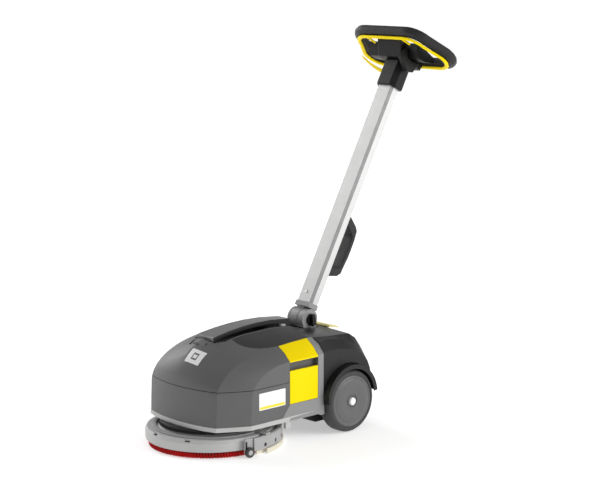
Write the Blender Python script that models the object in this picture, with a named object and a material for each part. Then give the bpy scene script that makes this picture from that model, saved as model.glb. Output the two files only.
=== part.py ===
"""Compact walk-behind floor scrubber: disc brush head, two tanks, rear battery housing, folding push pole.

Sizes below are in millimetres and become metres when each mesh is written. While a piece is being shaped, the
frame has its origin on the floor under the brush's centre: +Z up, -Y to the front, +X to the machine's left
wheel as seen by the operator behind it. BRUSH_Y then moves everything so that the origin of the finished part
is on the floor at the middle of its outer box.
"""

import bmesh
import bpy
from math import atan2, cos, pi, radians, sin
from mathutils import Matrix, Vector

MM = 0.001
BRUSH_Y = -287.8  # brush centre in the finished part's frame
GAP = 0.35  # clearance between neighbouring pieces

# --- driving dimensions -----------------------------------------------------------------------------------
BRUSH_R = 150.0
DECK_R = 157.0
DECK_LOW, DECK_TOP = 16.0, 44.0
RIM_LOW, RIM_TOP = 61.0, 71.7  # light-grey edge under the tanks
SEAM_Z = 156.0  # joint between the clean and the dirty water tank
CREASE_X, SHOULDER_X, SIDE_X = 122.0, 145.0, 163.0  # half-widths where the body's facets meet
TANK_BACK = 112.0
HOOP_FRONT, HOOP_BACK = 205.4, 223.6  # light-grey hoop between tanks and rear housing
REAR_Y = 404.0
SHELL = 3.0
SPINE_X, SPINE_BACK = 52.0, 273.0  # raised middle of the dirty tank, with the carrying handle on it
WELL_FRONT, WELL_FLOOR = -17.5, 236.0
GRIP_X = 31.0
PANEL_LOW, PANEL_HIGH = 102.0, 183.0  # yellow side panels
LATCH_LOW = 204.0
LATCH_PIVOT_Z = 244.5
WHEEL_Y, WHEEL_R, WHEEL_IN, WHEEL_OUT = 306.0, 78.0, 142.0, 178.0
AXLE_R = 8.0
ARCH_Y, ARCH_Z, ARCH_IN, ARCH_OUT = 307.0, 84.0, 81.5, 86.0
HINGE_Y, HINGE_Z, HINGE_R = 307.0, 259.5, 26.0
LEAN = radians(28.7)  # the pole leans back this far at rest
POLE_X, POLE_T = 24.0, 15.0  # half-width and half-depth of the pole's section
POLE_START, POLE_END = 40.0, 712.0
CLAMP_START, CLAMP_END = 640.0, 712.5
RING_FRONT = (593.0, 952.0)  # Y, Z of the front bar of the start bail
RING_TILT = radians(35.5)  # the steering ring slopes down to the operator
RING_DEPTH = 138.0
RING_HALF_FRONT, RING_HALF_REAR = 114.0, 142.0
SQUEEGEE_IN, SQUEEGEE_OUT = 165.0, 174.0
SQUEEGEE_ENDS = (-5.0, 185.0)
ROLLER_Z = 13.0

Y_AXIS_POINTS = (110.0, 150.0, 205.0, 222.0, 226.0, 255.0, 289.0, 321.0, 350.0)
CROWN_TOP = (275.0, 276.0, 270.0, 265.0, 263.0, 252.0, 243.0, 239.0, 237.0)
CREASE_TOP = (238.0, 241.0, 244.0, 242.5, 242.0, 239.0, 236.5, 235.0, 233.0)
SHOULDER_TOP = (223.5, 225.5, 227.5, 228.0, 234.0, 237.0, 232.0, 223.5, 207.0)
SIDE_TOP = (206.0, 207.0, 208.0, 209.0, 211.0, 213.0, 211.0, 205.0, 191.0)

# --- helpers ----------------------------------------------------------------------------------------------

for old in list(bpy.data.objects):
    bpy.data.objects.remove(old, do_unlink=True)


def material(name, colour, roughness, metallic=0.0):
    made = bpy.data.materials.new(name)
    made.use_nodes = True
    shader = made.node_tree.nodes["Principled BSDF"]
    shader.inputs["Base Color"].default_value = (*colour, 1.0)
    shader.inputs["Roughness"].default_value = roughness
    shader.inputs["Metallic"].default_value = metallic
    return made


HOOD_GREY = material("hood_grey_plastic", (0.125, 0.125, 0.125), 0.45)
BLACK = material("black_plastic", (0.022, 0.022, 0.023), 0.40)
SATIN_BLACK = material("satin_black_plastic", (0.05, 0.05, 0.052), 0.32)
LIGHT_GREY = material("light_grey_plastic", (0.42, 0.42, 0.42), 0.5)
YELLOW = material("yellow_plastic", (0.95, 0.80, 0.0), 0.45)
PALE_YELLOW = material("pale_yellow_plastic", (0.85, 0.75, 0.25), 0.45)
RED = material("red_bristles", (0.35, 0.008, 0.006), 0.8)
CAST_GREY = material("grey_casting", (0.20, 0.20, 0.20), 0.45)
ALUMINIUM = material("anodised_aluminium", (0.72, 0.72, 0.71), 0.32, 1.0)
STEEL = material("zinc_steel", (0.55, 0.55, 0.55), 0.35, 1.0)
TYRE = material("tyre_rubber", (0.035, 0.035, 0.035), 0.7)
WHEEL_GREY = material("wheel_grey_plastic", (0.09, 0.09, 0.09), 0.5)
WHITE = material("white_plastic", (0.85, 0.85, 0.85), 0.4)
BEIGE = material("beige_rubber", (0.55, 0.50, 0.38), 0.6)
SOFT_BLACK = material("soft_black_grip", (0.03, 0.03, 0.03), 0.65)
MOTOR_GREY = material("motor_grey", (0.3, 0.3, 0.32), 0.5)
SCREEN = material("display_window", (0.02, 0.03, 0.03), 0.1)


def new_object(bm, name, mat=None):
    """Turns a bmesh in millimetres into an object; pieces stay in millimetres until finish()."""
    bmesh.ops.remove_doubles(bm, verts=bm.verts, dist=1e-4)
    bmesh.ops.recalc_face_normals(bm, faces=bm.faces)
    mesh = bpy.data.meshes.new(name)
    bm.to_mesh(mesh)
    bm.free()
    made = bpy.data.objects.new(name, mesh)
    bpy.context.collection.objects.link(made)
    if mat:
        mesh.materials.append(mat)
    return made


def box(low, high, name="box", mat=None):
    bm = bmesh.new()
    centre = (Vector(low) + Vector(high)) / 2
    size = Vector(high) - Vector(low)
    bmesh.ops.create_cube(bm, size=1.0, matrix=Matrix.Translation(centre) @ Matrix.Diagonal((*size, 1.0)))
    return new_object(bm, name, mat)


def prism(outline, low, high, axis="Z", name="prism", mat=None):
    """A flat outline pushed along an axis: outline is (x, y) for Z, (y, z) for X and (x, z) for Y."""
    order = {"X": lambda a, b, c: (c, a, b), "Y": lambda a, b, c: (a, c, b), "Z": lambda a, b, c: (a, b, c)}[axis]
    bm = bmesh.new()
    face = bm.faces.new([bm.verts.new(order(a, b, low)) for a, b in outline])
    grown = bmesh.ops.extrude_face_region(bm, geom=[face])
    shift = Vector(order(0.0, 0.0, high - low))
    bmesh.ops.translate(bm, verts=[v for v in grown["geom"] if isinstance(v, bmesh.types.BMVert)], vec=shift)
    return new_object(bm, name, mat)


def revolve(profile, centre=(0.0, 0.0), axis="Z", arc=(0.0, 360.0), steps=48, name="turned", mat=None):
    """A closed profile of (radius, height) turned about an axis. centre is (x, y) for Z and (y, z) for X."""
    full = abs(arc[1] - arc[0]) >= 360.0
    count = steps if full else steps + 1
    bm = bmesh.new()
    rings = []
    for i in range(count):
        angle = radians(arc[0] + (arc[1] - arc[0]) * i / steps)
        ring = []
        for r, h in profile:
            a = centre[0] + r * cos(angle)
            b = centre[1] + r * sin(angle)
            ring.append(bm.verts.new((a, b, h) if axis == "Z" else (h, a, b)))
        rings.append(ring)
    n = len(profile)
    for i in range(steps):
        here = rings[i]
        there = rings[(i + 1) % count]
        for k in range(n):
            if profile[k][0] > 0.0 or profile[(k + 1) % n][0] > 0.0:
                bm.faces.new((here[k], here[(k + 1) % n], there[(k + 1) % n], there[k]))
    if not full:
        bm.faces.new(rings[0])
        bm.faces.new(list(reversed(rings[-1])))
    bmesh.ops.remove_doubles(bm, verts=bm.verts, dist=1e-4)
    bmesh.ops.dissolve_degenerate(bm, edges=bm.edges, dist=1e-5)
    return new_object(bm, name, mat)


def cylinder(radius, low, high, centre=(0.0, 0.0), axis="Z", steps=32, name="cylinder", mat=None):
    outline = [
        (centre[0] + radius * cos(2 * pi * i / steps), centre[1] + radius * sin(2 * pi * i / steps))
        for i in range(steps)
    ]
    return prism(outline, low, high, axis, name, mat)


def applied(obj):
    """Replaces the object's mesh by what its modifiers make of it."""
    graph = bpy.context.evaluated_depsgraph_get()
    mesh = bpy.data.meshes.new_from_object(obj.evaluated_get(graph))
    obj.modifiers.clear()
    obj.data = mesh
    return obj


def combine(obj, others, operation):
    for other in others:
        step = obj.modifiers.new(operation.lower(), "BOOLEAN")
        step.operation = operation
        step.solver = "EXACT"
        step.object = other
        applied(obj)
    return obj


def discard(*objects):
    for obj in objects:
        bpy.data.objects.remove(obj, do_unlink=True)


def cut(obj, *cutters):
    combine(obj, cutters, "DIFFERENCE")
    discard(*cutters)
    return obj


def join(obj, *others):
    combine(obj, others, "UNION")
    discard(*others)
    return obj


def keep(obj, *regions):
    combine(obj, regions, "INTERSECT")
    discard(*regions)
    return obj


def copy_of(obj, name="copy"):
    made = obj.copy()
    made.data = obj.data.copy()
    made.name = name
    bpy.context.collection.objects.link(made)
    return made


def bevel(obj, width, segments=2, angle=35.0):
    step = obj.modifiers.new("bevel", "BEVEL")
    step.width = width
    step.segments = segments
    step.limit_method = "ANGLE"
    step.angle_limit = radians(angle)
    return applied(obj)


def named(obj, name, mat):
    obj.name = name
    obj.data.materials.clear()
    obj.data.materials.append(mat)
    return obj


def mirrored(obj, name):
    """The same piece on the other side of the machine."""
    made = copy_of(obj, name)
    made.data.transform(Matrix.Diagonal((-1.0, 1.0, 1.0, 1.0)))
    made.data.flip_normals()
    return made


# --- the body's outer surface -------------------------------------------------------------------------------


def between(points, values, at):
    for k in range(len(points) - 1):
        if at <= points[k + 1]:
            share = (at - points[k]) / (points[k + 1] - points[k])
            return values[k] + share * (values[k + 1] - values[k])
    return values[-1]


def rail(front, foot, spring_z, tops, power, tail, inset):
    """One lengthwise line of the body: up the front, over the dome, along the top and down the rear."""
    points = [(foot + inset, 40.0), (foot + (front - foot) * 0.4 + inset, 100.0)]
    centre_y = Y_AXIS_POINTS[0]
    reach = centre_y - front - inset
    rise = tops[0] - inset - spring_z
    for i in range(DOME_STEPS + 1):
        angle = pi / 2 * i / DOME_STEPS
        flat = cos(angle) ** (2 / power)
        tall = sin(angle) ** (2 / power)
        points.append((centre_y - reach * flat, spring_z + rise * tall))
    for y, z in zip(Y_AXIS_POINTS[1:], tops[1:]):
        points.append((y, z - inset))
    for y, z in tail:
        points.append((y - inset, z - inset * (1.0 if z > 150.0 else 0.0)))
    return points


DOME_STEPS = 9
REAR_TAIL = ((372.0, 219.0), (390.0, 196.0), (400.0, 172.0), (404.0, 140.0), (REAR_Y, 40.0))
CROWN_TAIL = ((374.0, 223.0), (393.0, 199.0), (403.0, 173.0), (406.5, 140.0), (406.5, 40.0))
SHOULDER_TAIL = ((368.0, 196.0), (384.0, 176.0), (393.0, 156.0), (398.0, 132.0), (398.0, 40.0))
SIDE_TAIL = ((364.0, 181.0), (376.0, 166.0), (384.0, 148.0), (388.0, 126.0), (388.0, 40.0))


def body_solid(inset=0.0):
    """The whole body as one solid, shrunk by inset; the shells are cut out of two of these."""
    crown = rail(-104.0, -107.0, 140.0, CROWN_TOP, 2.5, CROWN_TAIL, inset)
    crease = rail(-82.0, -85.0, 142.0, CREASE_TOP, 2.0, REAR_TAIL, inset)
    side = rail(-9.0, -13.0, 136.0, SIDE_TOP, 2.0, SIDE_TAIL, inset)
    shoulder = []
    for k, ((y1, z1), (y2, z2)) in enumerate(zip(crease, side)):
        shoulder.append(((y1 + y2) / 2 - 1.0, (z1 + z2) / 2 + 1.0))
    bend = 2 + DOME_STEPS
    tops = list(zip(Y_AXIS_POINTS, SHOULDER_TOP)) + list(SHOULDER_TAIL)
    for k, (y, z) in enumerate(tops):
        lower = inset if z > 150.0 else 0.0
        shoulder[bend + k] = (y - (inset if k >= len(SHOULDER_TOP) else 0.0), z - lower)
    crease_x = CREASE_X - 0.5 * inset
    shoulder_x = SHOULDER_X - 0.8 * inset
    side_x = SIDE_X - inset
    bm = bmesh.new()
    rows = []
    for k in range(len(crown)):
        row = [(side_x, *side[k]), (shoulder_x, *shoulder[k])]
        for x in CROWN_SPLIT:
            rise = 1.0 - x**1.3
            bulge = 1.0 - x**2
            y = crease[k][0] + (crown[k][0] - crease[k][0]) * bulge
            z = crease[k][1] + (crown[k][1] - crease[k][1]) * rise
            row.append((crease_x * x, y, z))
        left = [(-x, y, z) for x, y, z in reversed(row) if x > 0.0]
        rows.append([bm.verts.new(p) for p in row + left])
    width = len(rows[0])
    for here, there in zip(rows, rows[1:]):
        for i in range(width - 1):
            bm.faces.new((here[i], here[i + 1], there[i + 1], there[i]))
    bm.faces.new([row[0] for row in rows])
    bm.faces.new([row[-1] for row in reversed(rows)])
    bm.faces.new(rows[-1] + list(reversed(rows[0])))
    return new_object(bm, "body_solid")


CROWN_SPLIT = (1.0, 0.82, 0.62, 0.42, 0.2, 0.0)
BODY = body_solid()
BODY_INNER = body_solid(SHELL)


def region(source, low, high):
    """The part of the body between two corners."""
    return keep(copy_of(source), box(low, high))


def rim_outline(inset=0.0):
    """Plan of the body's foot: bowed front, cornered cheeks and straight sides."""
    right = [
        (0.0, -107.0 + inset),
        (45.0, -104.5 + inset),
        (88.0, -97.0 + inset),
        (CREASE_X - 0.4 * inset, -85.5 + inset),
        (SIDE_X + 0.5 - inset, -13.0 + 0.5 * inset),
        (SIDE_X + 0.5 - inset, HOOP_BACK - inset),
    ]
    return right + [(-x, y) for x, y in reversed(right) if x > 0.0]


TONGUE = (
    (SPINE_X + 0.5, 25.0),
    (75.0, 26.0),
    (90.0, 33.0),
    (103.0, 46.0),
    (113.0, 62.0),
    (119.0, 80.0),
    (CREASE_X - 0.3, 104.0),
)


def mirror_outline(points):
    return [(-x, y) for x, y in reversed(points)]


# --- tanks --------------------------------------------------------------------------------------------------


def frame_corner(grow):
    """Where the light-grey frame climbs up beside the tank, as (y, z)."""
    return [
        (90.0 - grow, 40.0),
        (90.0 - grow, 75.0 + grow),
        (111.0 - grow, 101.5 + grow),
        (140.0, 101.5 + grow),
        (140.0, 40.0),
    ]


def make_clean_tank():
    tank = region(BODY, (-200, -200, RIM_TOP + GAP), (200, TANK_BACK - 0.5, SEAM_Z - GAP / 2))
    hollow = region(BODY_INNER, (-200, -200, RIM_TOP + 3.5), (200, TANK_BACK - 3.5, SEAM_Z + 5.0))
    cut(hollow, cylinder(69.0, 60.0, 180.0, steps=36))
    for side in (-1, 1):
        low, high = sorted((side * 144.0, side * 175.0))
        cut(hollow, prism([(y - 3.0, z + 3.0) for y, z in frame_corner(1.0)], low, high, "X"))
    cut(tank, hollow, cylinder(66.0, 60.0, 180.0, steps=36))
    for side in (-1, 1):
        low, high = sorted((side * 150.0, side * 175.0))
        cut(tank, prism(frame_corner(GAP), low, high, "X"))
    return named(tank, "clean_water_tank", HOOD_GREY)


def well_outline(grow=0.0):
    """Plan of the hollow under the carrying handle."""
    right = [(GRIP_X + 5.0 + grow, WELL_FRONT - grow), (SPINE_X - 2.0 + grow, 7.0), (SPINE_X - 2.0 + grow, 300.0)]
    return right + mirror_outline(right)


def make_dirty_tank():
    tank = region(BODY, (-200, -200, SEAM_Z + GAP / 2), (200, TANK_BACK - 0.5, 300))
    join(tank, region(BODY, (-SPINE_X, 60, 229), (SPINE_X, SPINE_BACK, 300)))
    for points in (TONGUE, mirror_outline(TONGUE)):
        side = 1.0 if points[0][0] > 0 else -1.0
        near = [(x - side * 0.4 if abs(x) < 60 else x + side * 0.3, y - 0.4) for x, y in points]
        back = [(near[-1][0], 130.0), (near[0][0], 130.0)]
        cut(tank, prism(near + back, 190.0, 320.0))
    hollow = region(BODY_INNER, (-200, -200, SEAM_Z + 4.0), (200, TANK_BACK - 4.0, 300.0))
    cut(hollow, box((-200, 20.0, 186.0), (200, 200.0, 330.0)))
    cut(hollow, prism(well_outline(3.0), WELL_FLOOR - 3.0, 330.0))
    cut(tank, hollow)
    cut(tank, prism(well_outline(), WELL_FLOOR, 330.0))
    cut(tank, prism([(-30, 165), (30, 165), (30, 182), (-30, 182)], 100.0, 120.0, "Y"))
    return named(tank, "dirty_water_tank", HOOD_GREY)


def make_well_tray():
    """Black liner of the finger hollow."""
    outer = prism([(x, min(y, SPINE_BACK)) for x, y in well_outline(-GAP)], WELL_FLOOR + GAP, 300.0)
    keep(outer, region(BODY, (-80, -60, 200), (80, SPINE_BACK, 300)))
    inner = prism([(x, min(y, 290.0)) for x, y in well_outline(-GAP - 2.0)], WELL_FLOOR + GAP + 2.5, 330.0)
    cut(outer, inner)
    return named(outer, "handle_well_tray", BLACK)


GRIP_TOP = ((-14.4, 262.5), (6.0, 266.5), (40.0, 271.5), (85.0, 276.0), (130.0, 278.0), (180.0, 277.0), (244.0, 271.0))
GRIP_PLAN = ((31.5, -30.0), (31.5, -16.0), (28.0, 60.0), (25.0, 140.0), (21.5, 246.0))


def make_carry_handle():
    """The long grip over the hollow, standing on a post at each end."""
    floor = WELL_FLOOR + 2.5 + 2 * GAP
    under = [(y, z - 12.0) for y, z in GRIP_TOP[1:-1]]
    outline = list(GRIP_TOP) + [(244.0, floor), (228.0, floor), (226.0, 258.0)] + under[::-1]
    outline += [(2.0, floor), (-14.4, floor)]
    grip = prism(outline, -40.0, 40.0, "X")
    keep(grip, prism(list(GRIP_PLAN) + mirror_outline(GRIP_PLAN), 200.0, 320.0))
    bevel(grip, 1.6, 1, 60.0)
    return named(grip, "tank_carry_handle", HOOD_GREY)


# --- chassis ------------------------------------------------------------------------------------------------


def make_chassis_frame():
    tray = prism(rim_outline(), RIM_LOW, RIM_TOP)
    cut(tray, prism(rim_outline(6.0), RIM_LOW + 5.0, 90.0), cylinder(98.0, 40.0, 90.0, steps=48))
    hoop = keep(copy_of(BODY), box((-200, HOOP_FRONT, RIM_LOW), (200, HOOP_BACK, 300)))
    cut(hoop, box((-CREASE_X + 0.2, 190, 212), (CREASE_X - 0.2, 240, 320)))
    cut(hoop, box((-140, 190, 84), (140, 240, 200)))
    side = [
        (-10.0, RIM_LOW),
        (108.0, RIM_LOW),
        (114.0, 68.0),
        (201.0, 72.0),
        (214.0, 57.0),
        (226.0, 57.0),
        (226.0, 80.0),
        (HOOP_BACK, 80.0),
        (HOOP_BACK, 101.5),
        (111.0, 101.5),
        (90.0, 75.0),
        (90.0, RIM_TOP),
        (-10.0, RIM_TOP),
    ]
    for sign in (-1, 1):
        low, high = sorted((sign * 155.0, sign * (SIDE_X + 0.5)))
        join(hoop, prism(side, low, high, "X"))
        low, high = sorted((sign * 144.5, sign * 148.5))
        wall = [(TANK_BACK + 0.5, 84.0), (HOOP_FRONT + 2.0, 84.0), (HOOP_FRONT + 2.0, 203.5), (TANK_BACK + 0.5, 203.5)]
        join(hoop, prism(wall, low, high, "X"))
        low, high = sorted((sign * 148.0, sign * 156.0))
        join(hoop, prism([(105.0, 41.5), (120.5, 41.5), (120.5, 64.0), (105.0, 64.0)], low, high, "X"))
        join(hoop, prism([(118.0, 84.0), (200.0, 84.0), (200.0, 95.0), (118.0, 95.0)], low, high, "X"))
    join(tray, hoop)
    return named(tray, "chassis_frame", LIGHT_GREY)


def make_side_panel(name):
    panel = box((SIDE_X - 3.5, TANK_BACK + 0.5, PANEL_LOW), (SIDE_X, HOOP_FRONT - 0.6, PANEL_HIGH))
    join(panel, box((SIDE_X - 6.5, TANK_BACK + 2.0, PANEL_HIGH - 4.0), (SIDE_X - 3.0, HOOP_FRONT - 3, PANEL_HIGH)))
    return named(bevel(panel, 0.8, 1), name, YELLOW)


def make_latch(name):
    latch = region(BODY, (CREASE_X + 0.2, TANK_BACK + 0.4, LATCH_LOW), (200, HOOP_FRONT - 0.5, 300))
    cut(latch, body_solid(4.0))
    return named(latch, name, YELLOW)


def make_top_cover():
    cover = copy_of(BODY)
    plan = [
        *TONGUE,
        (CREASE_X - 0.3, 352.0),
        (-CREASE_X + 0.3, 352.0),
        *mirror_outline(TONGUE),
        (-SPINE_X - 0.5, SPINE_BACK + 0.6),
        (SPINE_X + 0.5, SPINE_BACK + 0.6),
    ]
    keep(cover, prism(plan, 150.0, 320.0))
    cut(cover, copy_of(BODY_INNER), box((-30.4, 277.6, 180.0), (30.4, 336.4, 300.0)))
    return named(cover, "top_cover", SATIN_BLACK)


def make_rear_housing():
    housing = keep(copy_of(BODY), box((-200, HOOP_BACK + GAP, 61.0), (200, 450, 300)))
    cut(housing, keep(body_solid(3.5), box((-200, 200, 20), (200, 450, 300))))
    cut(housing, box((-DOOR_X - 0.5, 370, DOOR_LOW - 0.5), (DOOR_X + 0.5, 450, DOOR_HIGH + 0.5)))
    cut(housing, box((-CREASE_X - 0.05, 210, 220), (CREASE_X + 0.05, 352.4, 300)))
    for sign in (-1, 1):
        low, high = sorted((sign * 126.0, sign * 190.0))
        cut(housing, prism(arch_outline(ARCH_OUT + 2.0), low, high, "X"))
    return named(housing, "rear_housing", BLACK)


def arch_outline(radius, steps=20):
    """Wheel opening in side view: straight down from a half circle."""
    arc = [(ARCH_Y + radius * cos(pi * k / steps), ARCH_Z + radius * sin(pi * k / steps)) for k in range(steps + 1)]
    return [(ARCH_Y + radius, 40.0)] + arc + [(ARCH_Y - radius, 40.0)]


DOOR_X, DOOR_LOW, DOOR_HIGH = 71.0, 96.0, 196.0
DOOR_HINGE_Y = 407.2


def make_battery_door():
    door = region(BODY, (-DOOR_X, 370, DOOR_LOW), (DOOR_X, 450, DOOR_HIGH))
    cut(door, body_solid(3.5))
    return named(door, "battery_door", BLACK)


def make_wheel_arch(name):
    """Mudguard over the wheel, with a lip in front of the tyre and a wall behind it."""
    profile = [
        (30.0, 126.5),
        (ARCH_OUT, 126.5),
        (ARCH_OUT, 182.0),
        (ARCH_OUT - 11.0, 182.0),
        (ARCH_OUT - 11.0, 179.2),
        (ARCH_IN, 179.2),
        (ARCH_IN, 129.5),
        (30.0, 129.5),
    ]
    arch = revolve(profile, (ARCH_Y, ARCH_Z), "X", (6.0, 181.0), 22)
    cut(arch, box((100.0, 200.0, 60.0), (200.0, HOOP_BACK + 0.5, 200.0)))
    return named(arch, name, BLACK)


def make_underbody():
    outline = [(160, 60.4), (198, 42), (236, 27), (388, 27), (398, 46), (398, 60.4)]
    pan = prism(outline, -122.0, 122.0, "X")
    hollow = [(176, 61.5), (200, 47), (237, 31), (385, 31), (394, 48), (394, 61.5)]
    cut(pan, prism(hollow, -118.0, 118.0, "X"))
    return named(pan, "underbody_pan", BLACK)


# --- brush head ---------------------------------------------------------------------------------------------


def make_deck():
    profile = [
        (DECK_R - 5.0, DECK_LOW),
        (DECK_R, DECK_LOW),
        (DECK_R + 0.5, 36.0),
        (DECK_R - 4.0, DECK_TOP),
        (126.0, DECK_TOP),
        (118.0, 49.5),
        (92.0, 49.5),
        (92.0, 45.5),
        (116.0, 45.5),
        (DECK_R - 5.0, 39.0),
    ]
    deck = revolve(profile, steps=56)
    for angle in (-61.0, -98.0):
        notch = box((DECK_R - 9.0, -7.0, 39.0), (DECK_R + 5.0, 7.0, 60.0))
        notch.data.transform(Matrix.Rotation(radians(angle), 4, "Z"))
        cut(deck, notch)
    return named(deck, "brush_deck", LIGHT_GREY)


def make_collar():
    """Ribbed rubber collar between the brush deck and the frame."""
    profile = [(93.0, 50.0), (121.0, 50.0)]
    for low in (50.8, 55.6):
        profile += [(124.0, low + 0.6), (124.0, low + 3.2), (121.0, low + 4.0)]
    profile += [(121.0, RIM_LOW - GAP), (93.0, RIM_LOW - GAP)]
    return revolve(profile, steps=40, name="deck_collar", mat=BLACK)


def make_brush():
    bristles = revolve(
        [(70.0, 0.0), (BRUSH_R, 0.0), (BRUSH_R - 1.0, 14.0), (70.0, 14.0)],
        steps=56,
        name="brush_bristles",
        mat=RED,
    )
    plate = revolve(
        [(12.0, 14.3), (147.0, 14.3), (147.0, 20.0), (45.0, 30.0), (12.0, 30.0)],
        steps=40,
        name="brush_plate",
        mat=BLACK,
    )
    hub = revolve(
        [(0.0, 22.0), (11.5, 22.0), (11.5, 30.4), (26.0, 30.4), (26.0, 36.0), (15.0, 40.0), (15.0, 46.0), (0.0, 46.0)],
        steps=24,
        name="drive_hub",
        mat=MOTOR_GREY,
    )
    return [bristles, plate, hub]


def make_drive():
    gearbox = revolve(
        [(0.0, 46.5), (30.0, 46.5), (88.0, 50.5), (88.0, 57.0), (60.0, 62.0), (60.0, 74.0), (0.0, 74.0)],
        steps=32,
        name="brush_gearbox",
        mat=MOTOR_GREY,
    )
    motor = revolve(
        [(0.0, 74.4), (56.0, 74.4), (58.0, 78.0), (58.0, 138.0), (50.0, 146.0), (0.0, 146.0)],
        steps=32,
        name="brush_motor",
        mat=MOTOR_GREY,
    )
    return [gearbox, motor]


# --- squeegee -----------------------------------------------------------------------------------------------


def turned_to(obj, degrees):
    obj.data.transform(Matrix.Rotation(radians(degrees), 4, "Z"))
    return obj


def make_squeegee():
    low, high = SQUEEGEE_ENDS
    carrier = revolve(
        [
            (SQUEEGEE_IN, 12.0),
            (SQUEEGEE_OUT - 2.0, 12.0),
            (SQUEEGEE_OUT, 14.0),
            (SQUEEGEE_OUT, 41.0),
            (SQUEEGEE_OUT - 2.0, 43.9),
            (SQUEEGEE_IN, 43.9),
        ],
        arc=(low + 1.0, high - 1.0),
        steps=44,
    )
    for k in range(12):
        hole = box((SQUEEGEE_OUT - 4.0, -2.6, 20.5), (SQUEEGEE_OUT + 3.0, 2.6, 25.7))
        cut(carrier, turned_to(hole, 8.0 + 15.0 * k))
    named(carrier, "squeegee_carrier", CAST_GREY)
    outer = revolve(
        [(SQUEEGEE_OUT + GAP, 0.4), (SQUEEGEE_OUT + 3.2, 0.4), (SQUEEGEE_OUT + 3.2, 18.0), (SQUEEGEE_OUT + GAP, 18.0)],
        arc=(low + 14.0, high - 14.0),
        steps=40,
        name="squeegee_rear_blade",
        mat=BEIGE,
    )
    inner = revolve(
        [(SQUEEGEE_IN - 3.2, 0.4), (SQUEEGEE_IN - GAP, 0.4), (SQUEEGEE_IN - GAP, 18.0), (SQUEEGEE_IN - 3.2, 18.0)],
        arc=(low + 6.0, high - 6.0),
        steps=40,
        name="squeegee_front_blade",
        mat=BEIGE,
    )
    ring = revolve([(131.0, 44.4), (140.0, 44.4), (140.0, 48.4), (131.0, 48.4)], steps=56)
    for degrees in (12.0, 51.0, 90.0, 129.0, 168.0):
        arm = box((136.0, -8.0, 44.4), (SQUEEGEE_OUT - 1.0, 8.0, 48.4))
        join(ring, turned_to(arm, degrees))
    named(ring, "squeegee_swivel_ring", CAST_GREY)
    made = [carrier, outer, inner, ring]
    for name, side, degrees in (("left_roller_bracket", 1, low - 3.5), ("right_roller_bracket", -1, high + 3.5)):
        ends = sorted((-10.5 * side, 12.6 * side))
        bracket = box((163.0, ends[0], 8.0), (170.5, ends[1], 45.5))
        bevel(bracket, 3.0, 2, 60.0)
        cut(bracket, cylinder(2.9, 150.0, 180.0, (0.0, ROLLER_Z), "X", 16))
        made.append(named(turned_to(bracket, degrees), name, CAST_GREY))
    return made


def make_roller(name, degrees):
    roller = revolve(
        [(0.0, 163.3), (2.6, 163.3), (2.6, 170.9), (12.2, 170.9), (12.2, 177.5), (11.0, 178.8), (0.0, 178.8)],
        (0.0, ROLLER_Z),
        "X",
        steps=24,
    )
    return named(turned_to(roller, degrees), name, TYRE)


# --- wheels -------------------------------------------------------------------------------------------------


def make_wheel(side):
    """Tyre, wheel disc and hub cap for one side; +1 is the side at +X."""
    where = (WHEEL_Y, WHEEL_R)
    tyre = revolve(
        [
            (64.3, WHEEL_IN),
            (73.0, WHEEL_IN),
            (WHEEL_R, WHEEL_IN + 7.0),
            (WHEEL_R, WHEEL_OUT - 11.0),
            (75.5, WHEEL_OUT - 4.0),
            (70.0, WHEEL_OUT),
            (64.3, WHEEL_OUT),
        ],
        where,
        "X",
        steps=48,
    )
    disc = revolve(
        [
            (AXLE_R + 0.1, 150.0),
            (20.0, 150.0),
            (20.0, 166.0),
            (64.0, 160.0),
            (64.0, WHEEL_OUT),
            (44.0, WHEEL_OUT + 2.0),
            (24.0, WHEEL_OUT + 1.0),
            (20.0, WHEEL_OUT - 2.0),
            (AXLE_R + 0.1, WHEEL_OUT - 2.0),
        ],
        where,
        "X",
        steps=32,
    )
    cap = revolve(
        [(0.0, WHEEL_OUT - 1.6), (12.5, WHEEL_OUT - 1.6), (12.5, 181.5), (10.5, 183.5), (0.0, 184.0)],
        where,
        "X",
        steps=24,
    )
    label = "left" if side > 0 else "right"
    made = [
        named(tyre, f"{label}_tyre", TYRE),
        named(disc, f"{label}_wheel_disc", WHEEL_GREY),
        named(cap, f"{label}_hub_cap", WHITE),
    ]
    if side < 0:
        for piece in made:
            piece.data.transform(Matrix.Diagonal((-1.0, 1.0, 1.0, 1.0)))
            piece.data.flip_normals()
    return made


# --- pole hinge ---------------------------------------------------------------------------------------------
EARS = ((-28.5, -22.0), (3.0, 6.5), (8.5, 27.0))
KNUCKLE = (-21.5, 2.5)


def tombstone(half, foot, steps=18):
    """A round head of the hinge's radius standing on two straight sides, as (y, z) about the hinge axis."""
    start = -meeting_angle(half)
    arc = [start + (pi - 2 * start) * k / steps for k in range(steps + 1)]
    return [(half, foot)] + [(HINGE_R * cos(a), HINGE_R * sin(a)) for a in arc] + [(-half, foot)]


def meeting_angle(half):
    """Angle below the level at which the hinge's round head meets its straight side."""
    return atan2((HINGE_R**2 - half**2) ** 0.5, half)


def make_hinge_base():
    pedestal = box((-30.0, 278.0, 206.0), (30.0, 336.0, 229.0))
    for low, high in EARS:
        shape = [(y + HINGE_Y, z + HINGE_Z) for y, z in tombstone(22.0, -32.0)]
        join(pedestal, prism(shape, low, high, "X"))
    cut(pedestal, cylinder(5.1, -60.0, 60.0, (HINGE_Y, HINGE_Z), "X", 16))
    return named(pedestal, "hinge_base", CAST_GREY)


def on_pole(obj):
    """Stands a piece modelled on a vertical pole through the hinge axis over to the pole's rest lean."""
    obj.data.transform(Matrix.Translation((0.0, HINGE_Y, HINGE_Z)) @ Matrix.Rotation(-LEAN, 4, "X"))
    return obj


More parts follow.
